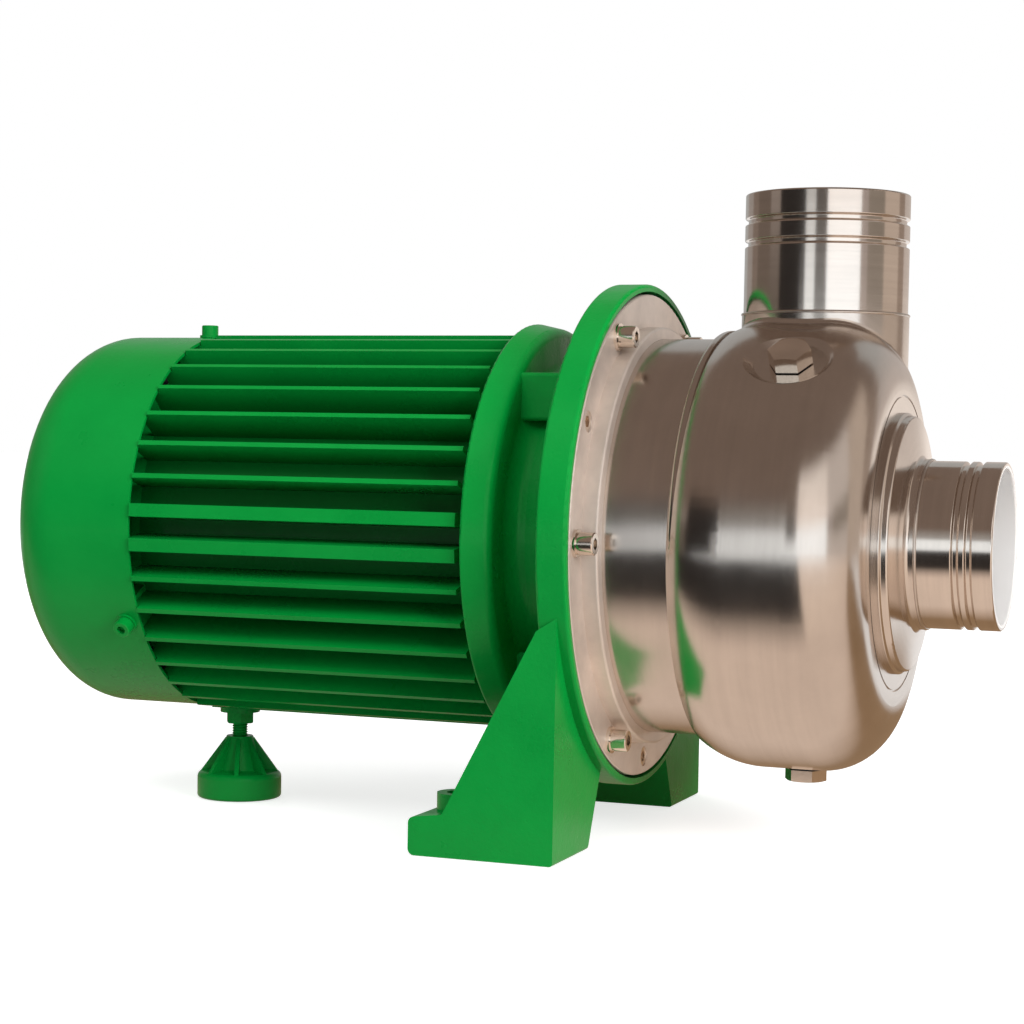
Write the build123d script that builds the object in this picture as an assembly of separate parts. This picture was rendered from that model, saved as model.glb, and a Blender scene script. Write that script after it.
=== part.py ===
from build123d import *
import os
from math import cos, pi, radians, sin, sqrt

# Close-coupled centrifugal pump: a stainless steel casing with grooved pipe stubs
# on a painted cast bracket, driven by a finned electric motor on an adjustable foot.
# The shaft lies along X and the suction end faces +X. The origin is on the base plane,
# midway between the two foot bolts. Pieces are drawn about the shaft, with X from the
# front face of the bracket flange, and moved there at the end. Sizes are in millimetres.

# Overall
shaft_height = 140.0
fit = 0.05
running_gap = 0.3

# Joint between casing and bracket
flange_thickness = 14.3
flange_lip = 3.3
plate_gap = 1.4
plate_rim = 20.9
plate_thickness = 5.5
ridge_width = 5.5
ridge_height = 7.6
joint_bolt_reach = 12.8
joint_bolt_count = 6
joint_screw_radius = 3.0
joint_screw_length = 20.0
screw_head_ratio = 1.667
flat_washer_ratio = 2.05
flat_washer_thickness = 1.5
spring_washer_thickness = 1.5
jack_screw_radius = 4.8
jack_screw_count = 3

# Casing
casing_wall = 2.5
barrel_radius = 92.7
barrel_length = 37.6
body_rise = 10.6
body_drop = 2.2
body_rear_step = 2.6
body_rear_shoulder = 25.6
body_flat = 25.8
body_front_round = 31.2
seam_bead_height = 3.9
seam_bead_width = 3.9
seam_line_inset = 4.9
seam_line_depth = 0.7

# Suction and discharge stubs
port_radius = 38.05
port_wall = 3.0
port_collar_step = 0.7
groove_depth = 1.5
groove_width = 3.2
boss_ring_land = 9.2
boss_ring_seat = 8.0
boss_ring_height = 5.7
boss_ring_cone = 3.8
suction_collar_length = 4.0
suction_length = 33.8
suction_first_groove = 10.7
suction_second_groove = 16.5
discharge_setback = 15.8
discharge_offset = 16.6
discharge_seam_rise = 3.3
discharge_length = 55.6
branch_blend = 3.0
branch_neck = 4.0
discharge_first_groove = 12.8
discharge_second_groove = 23.1

# Filler and drain plugs
filler_angle = 55.0
filler_setback = 18.1
filler_boss_radius = 10.0
filler_boss_height = 5.0
dimple_radius = 21.0
dimple_slope = 4.4
dimple_depth = 3.5
plug_hex = 17.0
plug_head_height = 7.2
plug_thread_radius = 6.5
plug_thread_length = 9.0
gasket_thickness = 0.6
drain_head_height = 5.4

# Seal cover behind the impeller
cover_sheet = 3.0
cover_edge = 1.6
cover_barrel_gap = 2.2
cover_setback = 2.2
seal_cup_radius = 30.0
seal_cup_depth = 35.0
cover_shaft_gap = 4.0
joint_ring_reach = 4.3
joint_ring_section = 1.4

# Impeller
impeller_tip_room = 14.8
impeller_gap = 4.5
shroud_thickness = 4.0
hub_radius = 19.0
hub_length = 22.0
vane_count = 6
vane_thickness = 3.6
vane_inner_radius = 26.0
vane_height = 22.0
vane_sweep = 78.0
wear_gap = 0.8
wear_plate_overlap = 4.0
wear_plate_thickness = 2.5
wear_tube_wall = 2.0
wear_tube_seat = 1.5
impeller_nut_hex = 24.0
impeller_nut_height = 13.0
impeller_washer_thickness = 2.5
key_width = 6.0
key_height = 6.0

# Mechanical seal
seal_seat_radius = 22.0
seal_seat_length = 7.0
seal_face_radius = 19.0
seal_face_length = 7.0
seal_bellows_length = 6.0
seal_spring_radius = 17.0
seal_spring_wire = 1.1
seal_spring_turns = 3.5
seal_collar_length = 3.0

# Shaft
pump_shaft_radius = 10.0
shaft_thread_radius = 8.0
bearing_seat_radius = 12.5
rotor_seat_radius = 15.0
fan_seat_radius = 9.5

# Bracket
ring_rim = 5.5
ring_thickness = 13.7
ring_to_flange = 28.7
ring_corner = 4.5
neck_step = 2.5
neck_wall = 8.0
neck_fillet = 8.0
endshield_thickness = 8.0
bracket_hub_wall = 8.0
spigot_depth = 10.0
fin_clearance = 4.3
rib_block_width = 22.0
rib_block_side = 36.0
rib_block_sink = 21.0
drip_slot_width = 16.0
drip_slot_length = 18.0

# Bracket feet
foot_tuck = 4.3
foot_width = 48.0
foot_flare = 18.0
foot_top_width = 25.0
foot_arch_drop = 16.3
foot_setback = 5.0
foot_length = 68.0
foot_wall = 9.0
toe_height = 17.0
toe_length = 16.0
gusset_top = 38.0
gusset_rim = 32.0
foot_bolt_setback = 55.0
foot_bolt_edge = 28.0
foot_bolt_hole = 5.5
foot_boss_radius = 10.0
foot_boss_height = 8.0
foot_corner = 3.0

# Motor frame, stator and rotor
frame_length = 170.0
frame_root_radius = 76.5
frame_wall = 9.5
fin_height = 18.0
fin_count = 36
fin_thickness = 2.3
wide_fin_thickness = 6.2
tie_rod_inset = 4.7
tie_rod_radius = 2.5
stator_depth = 29.0
front_winding_room = 34.0
rear_winding_room = 26.0
winding_outer_gap = 9.0
winding_inner_gap = 4.0
winding_length = 16.0
air_gap = 0.5
rotor_ring_length = 8.0
rotor_ring_step = 2.5

# Bearings
bearing_outer_radius = 26.0
bearing_width = 15.0
bearing_ball_ratio = 0.289
bearing_ball_count = 9
bearing_ring_ratio = 0.296
wave_washer_thickness = 1.5

# Rear end of the motor
rear_shield_thickness = 12.0
bearing_cap = 3.0
shield_lug_width = 22.0
cowl_sheet = 1.4
cowl_seat_gap = 0.3
cowl_edge_gap = 0.8
cowl_inset = 1.2
cowl_overlap = 3.4
cowl_length = 71.0
cowl_corner = 26.0
cowl_dome = 4.5
cowl_screw_setback = 7.5
cowl_screw_count = 3
cowl_screw_radius = 2.5
cowl_screw_length = 10.0
cowl_washer_thickness = 1.2
grille_rows = 5
grille_margin = 7.3
grille_hole = 3.4
fan_tip_gap = 13.3
fan_gap = 6.0
fan_hub_radius = 16.0
fan_disc_thickness = 2.5
fan_blade_width = 20.0
fan_blade_thickness = 2.2
fan_blade_count = 8
fan_hub_length = 20.0

# Terminal box on the far side
box_width = 92.0
box_height = 84.0
box_depth = 34.0
box_wall = 3.0
box_corner = 8.0
box_lid_height = 12.0
box_gasket_thickness = 1.5
box_screw_radius = 2.0
box_rim = 9.0
box_pillar_radius = 5.0
box_pillar_inset = 4.0
box_pad_edge = 10.0
box_pad_height = 10.5
cable_hole_radius = 14.0
board_width = 46.0
board_height = 34.0
board_thickness = 8.0
board_rise = 4.0
stud_radius = 2.0
gland_radius = 10.0
gland_hex = 24.0
gland_bore = 6.5
cable_bore = 4.0

# Adjustable foot
foot_screw_setback = 154.7
foot_screw_radius = 4.0
foot_nut_hex = 13.0
foot_nut_height = 5.8
foot_lug_radius = 10.0
foot_lug_drop = 2.0
foot_pad_radius = 21.3
foot_pad_height = 13.0
foot_cone_top_radius = 6.7
foot_cone_base_radius = 12.5
foot_rib_count = 8
foot_rib_thickness = 2.2
foot_cone_gap = 12.3
foot_screw_reach = 12.0

# Places along the shaft that follow from the sizes above
plate_radius = barrel_radius + plate_rim
flange_radius = plate_radius + plate_gap + flange_lip
ridge_radius = barrel_radius + ridge_width
joint_bolt_circle = barrel_radius + joint_bolt_reach
joint_ring_radius = barrel_radius + joint_ring_reach
recess_depth = plate_thickness + cover_sheet
body_radius = barrel_radius + body_rise
body_flat_start = barrel_length + body_rear_shoulder
body_flat_end = body_flat_start + body_flat
body_front = body_flat_end + body_front_round
seam_line_radius = body_radius - body_front_round - seam_line_inset
boss_ring_radius = seam_line_radius - boss_ring_land
boss_ring_front = body_front + boss_ring_height
suction_collar = boss_ring_front + boss_ring_cone
suction_pipe = suction_collar + suction_collar_length
discharge_x = body_flat_start + discharge_setback
discharge_seam = body_radius - body_drop + discharge_seam_rise
port_bore = port_radius - port_wall
wear_tube_outer = port_bore + wear_tube_seat + fit + wear_tube_wall
cover_radius = plate_radius - cover_edge
cover_front = body_flat_start - cover_setback
cover_barrel = barrel_radius - casing_wall - cover_barrel_gap
seal_cup_bottom = cover_front - seal_cup_depth
impeller_radius = body_radius - casing_wall - impeller_tip_room
wear_plate_radius = impeller_radius + wear_plate_overlap
shroud_back = cover_front + impeller_gap
shroud_front = shroud_back + shroud_thickness
vane_front = shroud_front + vane_height
wear_plate_back = vane_front + wear_gap
seal_seat_front = seal_cup_bottom + seal_seat_length
seal_face_front = seal_seat_front + seal_face_length
seal_bellows_front = seal_face_front + seal_bellows_length
hub_back = shroud_back - seal_collar_length
hub_front = hub_back + hub_length
seal_collar_back = hub_back - seal_collar_length
frame_bore_radius = frame_root_radius - frame_wall
fin_radius = frame_root_radius + fin_height
ring_radius = fin_radius + ring_rim
neck_radius = frame_root_radius - neck_step
rib_block_inner = neck_radius - rib_block_side
rib_block_low = neck_radius - rib_block_sink
foot_outer = flange_radius - foot_tuck
foot_inner = foot_outer - foot_width
foot_inner_top = foot_inner - foot_flare
foot_arch = flange_radius - foot_arch_drop
foot_bolt_reach = foot_outer - foot_bolt_edge
ring_front = -(flange_thickness + ring_to_flange)
ring_back = ring_front - ring_thickness
frame_front = ring_back - fin_clearance
frame_back = frame_front - frame_length
tie_rod_circle = frame_root_radius - tie_rod_inset
stator_bore_radius = frame_bore_radius - stator_depth
winding_outer_radius = frame_bore_radius - winding_outer_gap
winding_inner_radius = stator_bore_radius + winding_inner_gap
rotor_radius = stator_bore_radius - air_gap
rotor_ring_radius = rotor_radius - rotor_ring_step
bearing_section = bearing_outer_radius - bearing_seat_radius
bearing_ball_radius = bearing_section * bearing_ball_ratio
bearing_ring_wall = bearing_section * bearing_ring_ratio
front_bearing_front = ring_front - bearing_cap - 1.0
front_bearing_back = front_bearing_front - bearing_width
shield_back = frame_back - rear_shield_thickness
rear_bearing_back = shield_back + bearing_cap
rear_bearing_front = rear_bearing_back + bearing_width
stator_front = frame_front - front_winding_room
stator_back = frame_back + rear_winding_room
cowl_radius = fin_radius - cowl_inset
shield_lug_radius = cowl_radius - cowl_sheet - cowl_seat_gap
fan_radius = cowl_radius - fan_tip_gap
grille_pitch = (cowl_radius - cowl_corner - grille_margin) / grille_rows
cowl_front = frame_back + cowl_overlap
cowl_back = cowl_front - cowl_length
cowl_screw_x = cowl_front - cowl_screw_setback
fan_front = shield_back - fan_gap
fan_back = fan_front - fan_hub_length
box_centre = (frame_front + frame_back) / 2 + 8.0
box_reach = frame_root_radius + box_pad_height
box_pad_width = box_height - 2 * box_pad_edge
foot_lug_bottom = fin_radius + foot_lug_drop
foot_cone_top = foot_lug_bottom + foot_cone_gap
foot_screw_x = frame_front - foot_screw_setback
foot_bolt_x = -(foot_setback + foot_bolt_setback)


def outline(*corners):
    """Closed face through the corners; a third value rounds that corner."""
    points = [corner[:2] for corner in corners]
    radii = [corner[2] if len(corner) > 2 else 0 for corner in corners]
    return make_face(FilletPolyline(*points, radius=radii, close=True))


def turned(*corners):
    """Ring turned about the shaft from corners given as (x, radius)."""
    return revolve(Plane.XZ * outline(*corners), Axis.X)


def tube(start, end, outer, inner=0.0):
    """Round bar or tube along the shaft between two places."""
    bar = Pos(start, 0, 0) * extrude(Plane.YZ * Circle(outer), end - start)
    if inner > 0:
        bar -= Pos(start, 0, 0) * extrude(Plane.YZ * Circle(inner), end - start)
    return bar


def around(angle):
    """Turn about the shaft, measured up from the -Y side."""
    return Rot(-angle, 0, 0)


def ring_of(count, piece, start=0.0):
    """Copies of a piece drawn on the -Y side, spread about the shaft."""
    return [around(start + 360 / count * index) * piece for index in range(count)]


def hexagon(across_flats):
    """Hexagon measured across its flats."""
    return RegularPolygon(across_flats / 2, 6, major_radius=False)


def coil(radius, wire, turns, length):
    """Compression spring along Z from the origin."""
    path = Helix(length / turns, length, radius)
    section = Plane(origin=path @ 0, z_dir=path % 0) * RegularPolygon(wire, 6)
    return sweep(section, path)


def joined(pieces):
    """One group of separate solids."""
    solids = []
    for piece in pieces:
        solids += piece.solids()
    return Compound(solids)


# Casing
def casing_plate():
    """Round plate with a raised ring, bolted into the bracket flange."""
    plate = turned(
        (-plate_thickness, barrel_radius + fit),
        (-plate_thickness, plate_radius),
        (0, plate_radius, 0.8),
        (0, ridge_radius),
        (ridge_height, ridge_radius, 1.2),
        (ridge_height, barrel_radius + fit),
    )
    groove = tube(
        -plate_thickness,
        -plate_thickness + 2 * joint_ring_section,
        joint_ring_radius + joint_ring_section + fit,
        joint_ring_radius - joint_ring_section - fit,
    )
    hole = Pos(-plate_thickness, -joint_bolt_circle, 0) * Rot(0, 90, 0)
    bolt_hole = hole * extrude(Circle(joint_screw_radius + 0.5), plate_thickness)
    jack_hole = hole * extrude(Circle(jack_screw_radius), plate_thickness)
    plate -= groove
    for cut in ring_of(joint_bolt_count, bolt_hole):
        plate -= cut
    for cut in ring_of(jack_screw_count, jack_hole, 180 / joint_bolt_count):
        plate -= cut
    return plate


def casing_barrel():
    """Plain sheet barrel between the plate and the volute shell."""
    return tube(-plate_thickness, barrel_length, barrel_radius, barrel_radius - casing_wall)


def body_section(inset):
    """Half section of the volute body, drawn back by inset on every side."""
    rear = barrel_length + inset
    front = body_front - inset
    top = body_radius - inset
    rear_corner = barrel_radius + body_rear_step
    rise = body_radius - rear_corner
    rear_round = (body_rear_shoulder**2 + rise**2) / (2 * rise)
    arc_radius = rear_round - inset
    run = body_flat_start - rear
    rear_top = body_radius - rear_round + sqrt(arc_radius**2 - run**2)
    half_run = run / 2
    middle_top = body_radius - rear_round + sqrt(arc_radius**2 - half_run**2)
    front_arc = body_front_round - inset
    diagonal = front_arc / sqrt(2)
    arc_centre = body_radius - body_front_round
    edges = [
        Line((rear, 0), (rear, rear_top)),
        ThreePointArc((rear, rear_top), (body_flat_start - half_run, middle_top), (body_flat_start, top)),
        Line((body_flat_start, top), (body_flat_end, top)),
        ThreePointArc(
            (body_flat_end, top),
            (body_flat_end + diagonal, arc_centre + diagonal),
            (front, arc_centre),
        ),
        Line((front, arc_centre), (front, 0)),
        Line((front, 0), (rear, 0)),
    ]
    return make_face(edges)


def body_form(inset):
    """Volute body, set low so that the passage widens around the impeller."""
    return Pos(0, 0, -body_drop) * revolve(Plane.XZ * body_section(inset), Axis.X)


def upright(radius, low, high):
    """Upright bar on the discharge axis."""
    return Pos(discharge_x, discharge_offset, low) * extrude(Circle(radius), high - low)


def dimple(wall=0.0):
    """Shallow round pressing that the filler plug stands in, with a soft rim."""
    rim = dimple_radius + wall
    profile = outline(
        (0, 0),
        (rim - dimple_slope, 0, 3.0),
        (rim, dimple_depth, 2.0),
        (rim + dimple_depth, dimple_depth * 3),
        (0, dimple_depth * 3),
    )
    cutter = revolve(Plane.XZ * profile, Axis.Z)
    return Pos(0, 0, -body_drop) * filler_place(body_radius - dimple_depth - wall) * cutter


def filler_place(distance):
    """Place on the filler axis, at a distance from the middle of the volute."""
    return around(filler_angle) * Pos(body_flat_start + filler_setback, -distance, 0) * Rot(90, 0, 0)


def casing_shell():
    """Pressed volute shell with its seams, branch and pressed dimple."""
    shell = body_form(0) + upright(port_radius + port_collar_step, 0, discharge_seam)
    shell = fillet(shell.edges().filter_by(GeomType.BSPLINE), branch_blend)
    branch_bore = port_radius + port_collar_step - casing_wall
    cavity = body_form(casing_wall) + upright(branch_bore, 0, discharge_seam - branch_neck)
    cavity += upright(port_bore, 0, discharge_seam)
    cavity -= dimple(casing_wall)
    shell -= dimple()
    bead_radius = barrel_radius + seam_bead_height
    shell += turned(
        (barrel_length, barrel_radius - casing_wall),
        (barrel_length, bead_radius, 2.4),
        (barrel_length + seam_bead_width, bead_radius),
        (barrel_length + seam_bead_width, barrel_radius - casing_wall),
    )
    shell -= cavity
    shell -= tube(barrel_length, barrel_length + 2 * casing_wall, barrel_radius - casing_wall)
    shell -= tube(body_front - 2 * casing_wall, body_front, boss_ring_radius - boss_ring_seat)
    shell -= turned(
        (body_front - seam_line_depth, seam_line_radius - 0.5),
        (body_front + 1, seam_line_radius - 0.5),
        (body_front + 1, seam_line_radius + 0.5),
        (body_front - seam_line_depth, seam_line_radius + 0.5),
    )
    shell -= Pos(0, 0, -body_drop) * filler_place(0) * extrude(Circle(plug_thread_radius), body_radius)
    shell -= Pos(discharge_x, 0, -body_radius - body_drop) * extrude(
        Circle(plug_thread_radius), body_radius
    )
    return shell


def grooved_stub(length, first_groove, second_groove):
    """Pipe stub along Z with two coupling grooves, measured from its mouth."""
    grooves = []
    for setback in (first_groove, second_groove):
        low = length - setback - groove_width / 2
        grooves += [
            (port_radius, low, 0.5),
            (port_radius - groove_depth, low + 0.7, 0.4),
            (port_radius - groove_depth, low + groove_width - 0.7, 0.4),
            (port_radius, low + groove_width, 0.5),
        ]
    grooves = sorted(grooves, key=lambda corner: corner[1])
    profile = outline(
        (port_bore, 0),
        (port_radius, 0),
        *grooves,
        (port_radius, length, 0.8),
        (port_bore, length, 0.8),
    )
    return revolve(Plane.XZ * profile, Axis.Z)


def discharge_stub():
    """Discharge pipe stub, standing on the branch of the shell."""
    stub = grooved_stub(discharge_length, discharge_first_groove, discharge_second_groove)
    return Pos(discharge_x, discharge_offset, discharge_seam) * stub


def suction_stub():
    """Suction pipe stub, on the shaft axis."""
    stub = grooved_stub(suction_length, suction_first_groove, suction_second_groove)
    return Pos(suction_pipe, 0, 0) * Rot(0, 90, 0) * stub


def suction_ring():
    """Turned ring between the shell and the suction stub, grooved for the wear plate's tube."""
    step = boss_ring_height / 2
    inner_seat = boss_ring_radius - boss_ring_seat
    back = body_front - 2 * casing_wall
    return turned(
        (back, port_bore),
        (back, port_bore + wear_tube_seat),
        (body_front, port_bore + wear_tube_seat),
        (body_front, wear_tube_outer + fit),
        (back, wear_tube_outer + fit),
        (back, inner_seat - fit),
        (body_front, inner_seat - fit),
        (body_front, boss_ring_radius + 1.6),
        (body_front + step - 0.8, boss_ring_radius + 1.6, 0.6),
        (body_front + step, boss_ring_radius + 0.4, 0.3),
        (boss_ring_front, boss_ring_radius, 1.2),
        (suction_collar, port_radius + port_collar_step, 2.0),
        (suction_pipe, port_radius + port_collar_step, 0.6),
        (suction_pipe, port_bore),
    )


def wear_plate():
    """Fixed plate in front of the open vanes, on a tube from the suction ring."""
    tube_inner = wear_tube_outer - wear_tube_wall
    front = wear_plate_back + wear_plate_thickness
    return turned(
        (wear_plate_back, tube_inner, 1.5),
        (wear_plate_back, wear_plate_radius, 1.0),
        (front, wear_plate_radius, 1.0),
        (front, wear_tube_outer, 3.0),
        (body_front, wear_tube_outer),
        (body_front, tube_inner),
    )


def hex_plug(head_height):
    """Hex head plug along Z, with its seat at the origin."""
    head = extrude(hexagon(plug_hex), head_height)
    head &= revolve(
        Plane.XZ
        * outline(
            (0, 0),
            (plug_hex, 0),
            (plug_hex, head_height - plug_hex * 0.14),
            (plug_hex * 0.48, head_height),
            (0, head_height),
        ),
        Axis.Z,
    )
    reach = plug_thread_length + gasket_thickness
    return head + Pos(0, 0, -reach) * extrude(Circle(plug_thread_radius - fit), reach)


def sealing_washer():
    """Flat gasket under a plug head, along Z from the origin."""
    return extrude(Circle(plug_hex * 0.47) - Circle(plug_thread_radius), gasket_thickness)


def filler_seat(height):
    """Place on the filler axis, above the floor of the dimple."""
    floor = body_radius - dimple_depth
    return Pos(0, 0, -body_drop) * filler_place(floor + height)


def drain_seat(height):
    """Place on the drain axis, pointing down from the underside of the body."""
    depth = body_radius + body_drop + height
    return Pos(discharge_x, 0, -depth) * Rot(180, 0, 0)


def filler_boss():
    """Round threaded boss welded to the inside of the dimple."""
    boss = extrude(Circle(filler_boss_radius) - Circle(plug_thread_radius), filler_boss_height)
    return filler_seat(-casing_wall - filler_boss_height) * boss


def filler_gasket():
    return filler_seat(0) * sealing_washer()


def filler_plug():
    return filler_seat(gasket_thickness) * hex_plug(plug_head_height)


def drain_gasket():
    return drain_seat(0) * sealing_washer()


def drain_plug():
    return drain_seat(gasket_thickness) * hex_plug(drain_head_height)


# Joint fasteners
def cap_screw(radius, length):
    """Socket cap screw along Z: the head stands on the origin."""
    head = extrude(Circle(radius * screw_head_ratio), 2 * radius)
    head = chamfer(head.edges().group_by(Axis.Z)[-1], radius * 0.15)
    head -= Pos(0, 0, radius) * extrude(hexagon(radius * 1.6), radius)
    return head + Pos(0, 0, -length) * extrude(Circle(radius - fit), length)


def flat_washer(radius, thickness):
    """Flat washer along Z from the origin."""
    return extrude(Circle(radius * flat_washer_ratio) - Circle(radius + fit), thickness)


def spring_washer(radius, thickness):
    """Split washer along Z from the origin."""
    outer = radius * screw_head_ratio - 0.1
    ring = extrude(Circle(outer) - Circle(radius + fit), thickness)
    return ring - Pos(outer, 0, thickness / 2) * Box(outer, radius * 0.2, thickness)


def joint_place(offset):
    """Place on the bolt circle of the casing plate, facing the suction side."""
    return Pos(offset, -joint_bolt_circle, 0) * Rot(0, 90, 0)


def joint_screws():
    """Screws that hold the casing plate in the bracket flange."""
    lift = flat_washer_thickness + spring_washer_thickness
    screw = joint_place(lift) * cap_screw(joint_screw_radius, joint_screw_length)
    return joined(ring_of(joint_bolt_count, screw))


def joint_washers():
    washer = joint_place(0) * flat_washer(joint_screw_radius, flat_washer_thickness)
    return joined(ring_of(joint_bolt_count, washer))


def joint_spring_washers():
    washer = spring_washer(joint_screw_radius, spring_washer_thickness)
    return joined(ring_of(joint_bolt_count, joint_place(flat_washer_thickness) * washer))


def jack_screws():
    """Set screws that push the casing off its seat."""
    length = plate_thickness - 0.5
    screw = extrude(Circle(jack_screw_radius - fit), length)
    screw -= Pos(0, 0, length / 2) * extrude(hexagon(jack_screw_radius), length / 2)
    placed = joint_place(-plate_thickness) * screw
    return joined(ring_of(jack_screw_count, placed, 180 / joint_bolt_count))


# Seal cover and mechanical seal
def seal_cover():
    """Deep pressed cover behind the impeller, with a cup for the seal."""
    wall = cover_sheet
    cover = turned(
        (-recess_depth, cover_barrel - wall),
        (-recess_depth, cover_radius),
        (-plate_thickness, cover_radius),
        (-plate_thickness, cover_barrel, 2.0),
        (cover_front, cover_barrel, 6.0),
        (cover_front, seal_cup_radius - wall, 4.0),
        (seal_cup_bottom, seal_cup_radius - wall),
        (seal_cup_bottom, pump_shaft_radius + cover_shaft_gap),
        (seal_cup_bottom - wall, pump_shaft_radius + cover_shaft_gap),
        (seal_cup_bottom - wall, seal_cup_radius, 3.0),
        (cover_front - wall, seal_cup_radius, 1.5),
        (cover_front - wall, cover_barrel - wall, 3.0),
    )
    hole = joint_place(-recess_depth) * extrude(Circle(joint_screw_radius + 0.5), cover_sheet)
    for cut in ring_of(joint_bolt_count, hole):
        cover -= cut
    return cover


def torus_ring(place, radius, section):
    """Round section ring about the shaft."""
    return Pos(place, 0, 0) * Rot(0, 90, 0) * Torus(radius, section)


def casing_o_ring():
    """Sealing ring between plate and cover."""
    return torus_ring(-plate_thickness + joint_ring_section, joint_ring_radius, joint_ring_section)


def seal_seat_ring():
    """Fixed hard ring of the mechanical seal."""
    return turned(
        (seal_cup_bottom, pump_shaft_radius + 1.5),
        (seal_cup_bottom, seal_seat_radius, 1.0),
        (seal_seat_front - 1.5, seal_seat_radius),
        (seal_seat_front - 1.5, seal_face_radius),
        (seal_seat_front, seal_face_radius),
        (seal_seat_front, pump_shaft_radius + 1.5),
    )


def seal_seat_cup():
    """Rubber cup that holds the fixed ring in the cover."""
    return tube(seal_cup_bottom, seal_seat_front - 1.5, seal_cup_radius - cover_sheet, seal_seat_radius)


def seal_face_ring():
    """Turning carbon ring of the mechanical seal."""
    return turned(
        (seal_seat_front, pump_shaft_radius + 1.0),
        (seal_seat_front, seal_face_radius - 2.5, 0.5),
        (seal_seat_front + 2.0, seal_face_radius - 2.5),
        (seal_seat_front + 2.0, seal_face_radius),
        (seal_face_front, seal_face_radius, 0.8),
        (seal_face_front, pump_shaft_radius + 1.0),
    )


def seal_bellows():
    """Rubber sleeve that carries the turning ring on the shaft."""
    return turned(
        (seal_face_front, pump_shaft_radius),
        (seal_face_front, seal_face_radius),
        (seal_face_front + 1.5, seal_face_radius, 0.5),
        (seal_face_front + 1.5, seal_spring_radius - 3.5, 0.5),
        (seal_bellows_front, seal_spring_radius - 3.5, 0.8),
        (seal_bellows_front, pump_shaft_radius),
    )


def seal_spring():
    """Spring between the sleeve and the driving collar."""
    start = seal_face_front + 1.5 + seal_spring_wire
    length = seal_collar_back - start - seal_spring_wire
    spring = coil(seal_spring_radius, seal_spring_wire, seal_spring_turns, length)
    return Pos(start, 0, 0) * Rot(0, 90, 0) * spring


def seal_collar():
    """Driving collar between the spring and the impeller hub."""
    outer = seal_spring_radius + 2 * seal_spring_wire
    return tube(seal_collar_back, hub_back, outer, pump_shaft_radius)


# Impeller
def vane_face():
    """Backward curved vane seen along the shaft, thinner towards its tip."""
    steps = 10
    tip_radius = impeller_radius - 0.01
    outer_side = []
    inner_side = []
    for index in range(steps + 1):
        share = index / steps
        radius = vane_inner_radius + (tip_radius - vane_inner_radius) * share
        turn = radians(-vane_sweep * share**0.8)
        half = vane_thickness / 2 * (1 - 0.25 * share)
        turn_half = half / (radius * cos(radians(38 - 20 * (1 - share))))
        outer_side.append((radius * cos(turn + turn_half), radius * sin(turn + turn_half)))
        inner_side.append((radius * cos(turn - turn_half), radius * sin(turn - turn_half)))
    edges = [
        Spline(*outer_side),
        Line(outer_side[-1], inner_side[-1]),
        Spline(*reversed(inner_side)),
        Line(inner_side[0], outer_side[0]),
    ]
    return make_face(edges)


def impeller():
    """Open impeller: back shroud, hub with nose, curved vanes and balance holes."""
    disc = turned(
        (hub_back, pump_shaft_radius + fit),
        (hub_back, hub_radius + 3.0, 1.0),
        (shroud_back, hub_radius + 8.0),
        (shroud_back, impeller_radius),
        (shroud_front - 1.0, impeller_radius, 0.8),
        (shroud_front, hub_radius + 14.0),
        (shroud_front + 6.0, hub_radius + 1.0),
        (hub_front, hub_radius - 3.0, 1.5),
        (hub_front, pump_shaft_radius + fit),
    )
    limit = turned(
        (shroud_front - 2.0, 0),
        (shroud_front - 2.0, impeller_radius),
        (vane_front, impeller_radius),
        (vane_front, vane_inner_radius + 8.0),
        (shroud_front + 10.0, vane_inner_radius - 4.0),
        (shroud_front + 4.0, 0),
    )
    blade = Pos(shroud_front - 2.0, 0, 0) * extrude(Plane.YZ * vane_face(), vane_height + 2.0)
    blade &= limit
    wheel = disc
    for vane in ring_of(vane_count, blade):
        wheel += vane
    hole_place = Pos(shroud_back - 5.0, -(hub_radius + 13.0), 0) * Rot(0, 90, 0)
    for cut in ring_of(vane_count, hole_place * extrude(Circle(3.0), 20.0), 23):
        wheel -= cut
    slot = Pos((hub_back + hub_front) / 2, 0, pump_shaft_radius)
    wheel -= slot * Box(hub_length + 4, key_width, key_height + 2 * fit)
    return wheel


def impeller_key():
    length = hub_length - 4.0
    place = Pos((hub_back + hub_front) / 2, 0, pump_shaft_radius)
    return place * Box(length, key_width - 2 * fit, key_height - 2 * fit)


def impeller_washer():
    front = hub_front + impeller_washer_thickness
    return tube(hub_front, front, hub_radius - 4.5, shaft_thread_radius + fit)


def impeller_nut():
    """Domed nut that closes the shaft end."""
    seat = hub_front + impeller_washer_thickness
    height = impeller_nut_height
    flats = extrude(hexagon(impeller_nut_hex), height * 0.7)
    dome = Pos(0, 0, height * 0.7) * extrude(Circle(impeller_nut_hex * 0.45), height * 0.6, taper=28)
    nut = flats + dome
    nut -= extrude(Circle(shaft_thread_radius + fit), height * 0.8)
    return Pos(seat, 0, 0) * Rot(0, 90, 0) * nut


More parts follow.
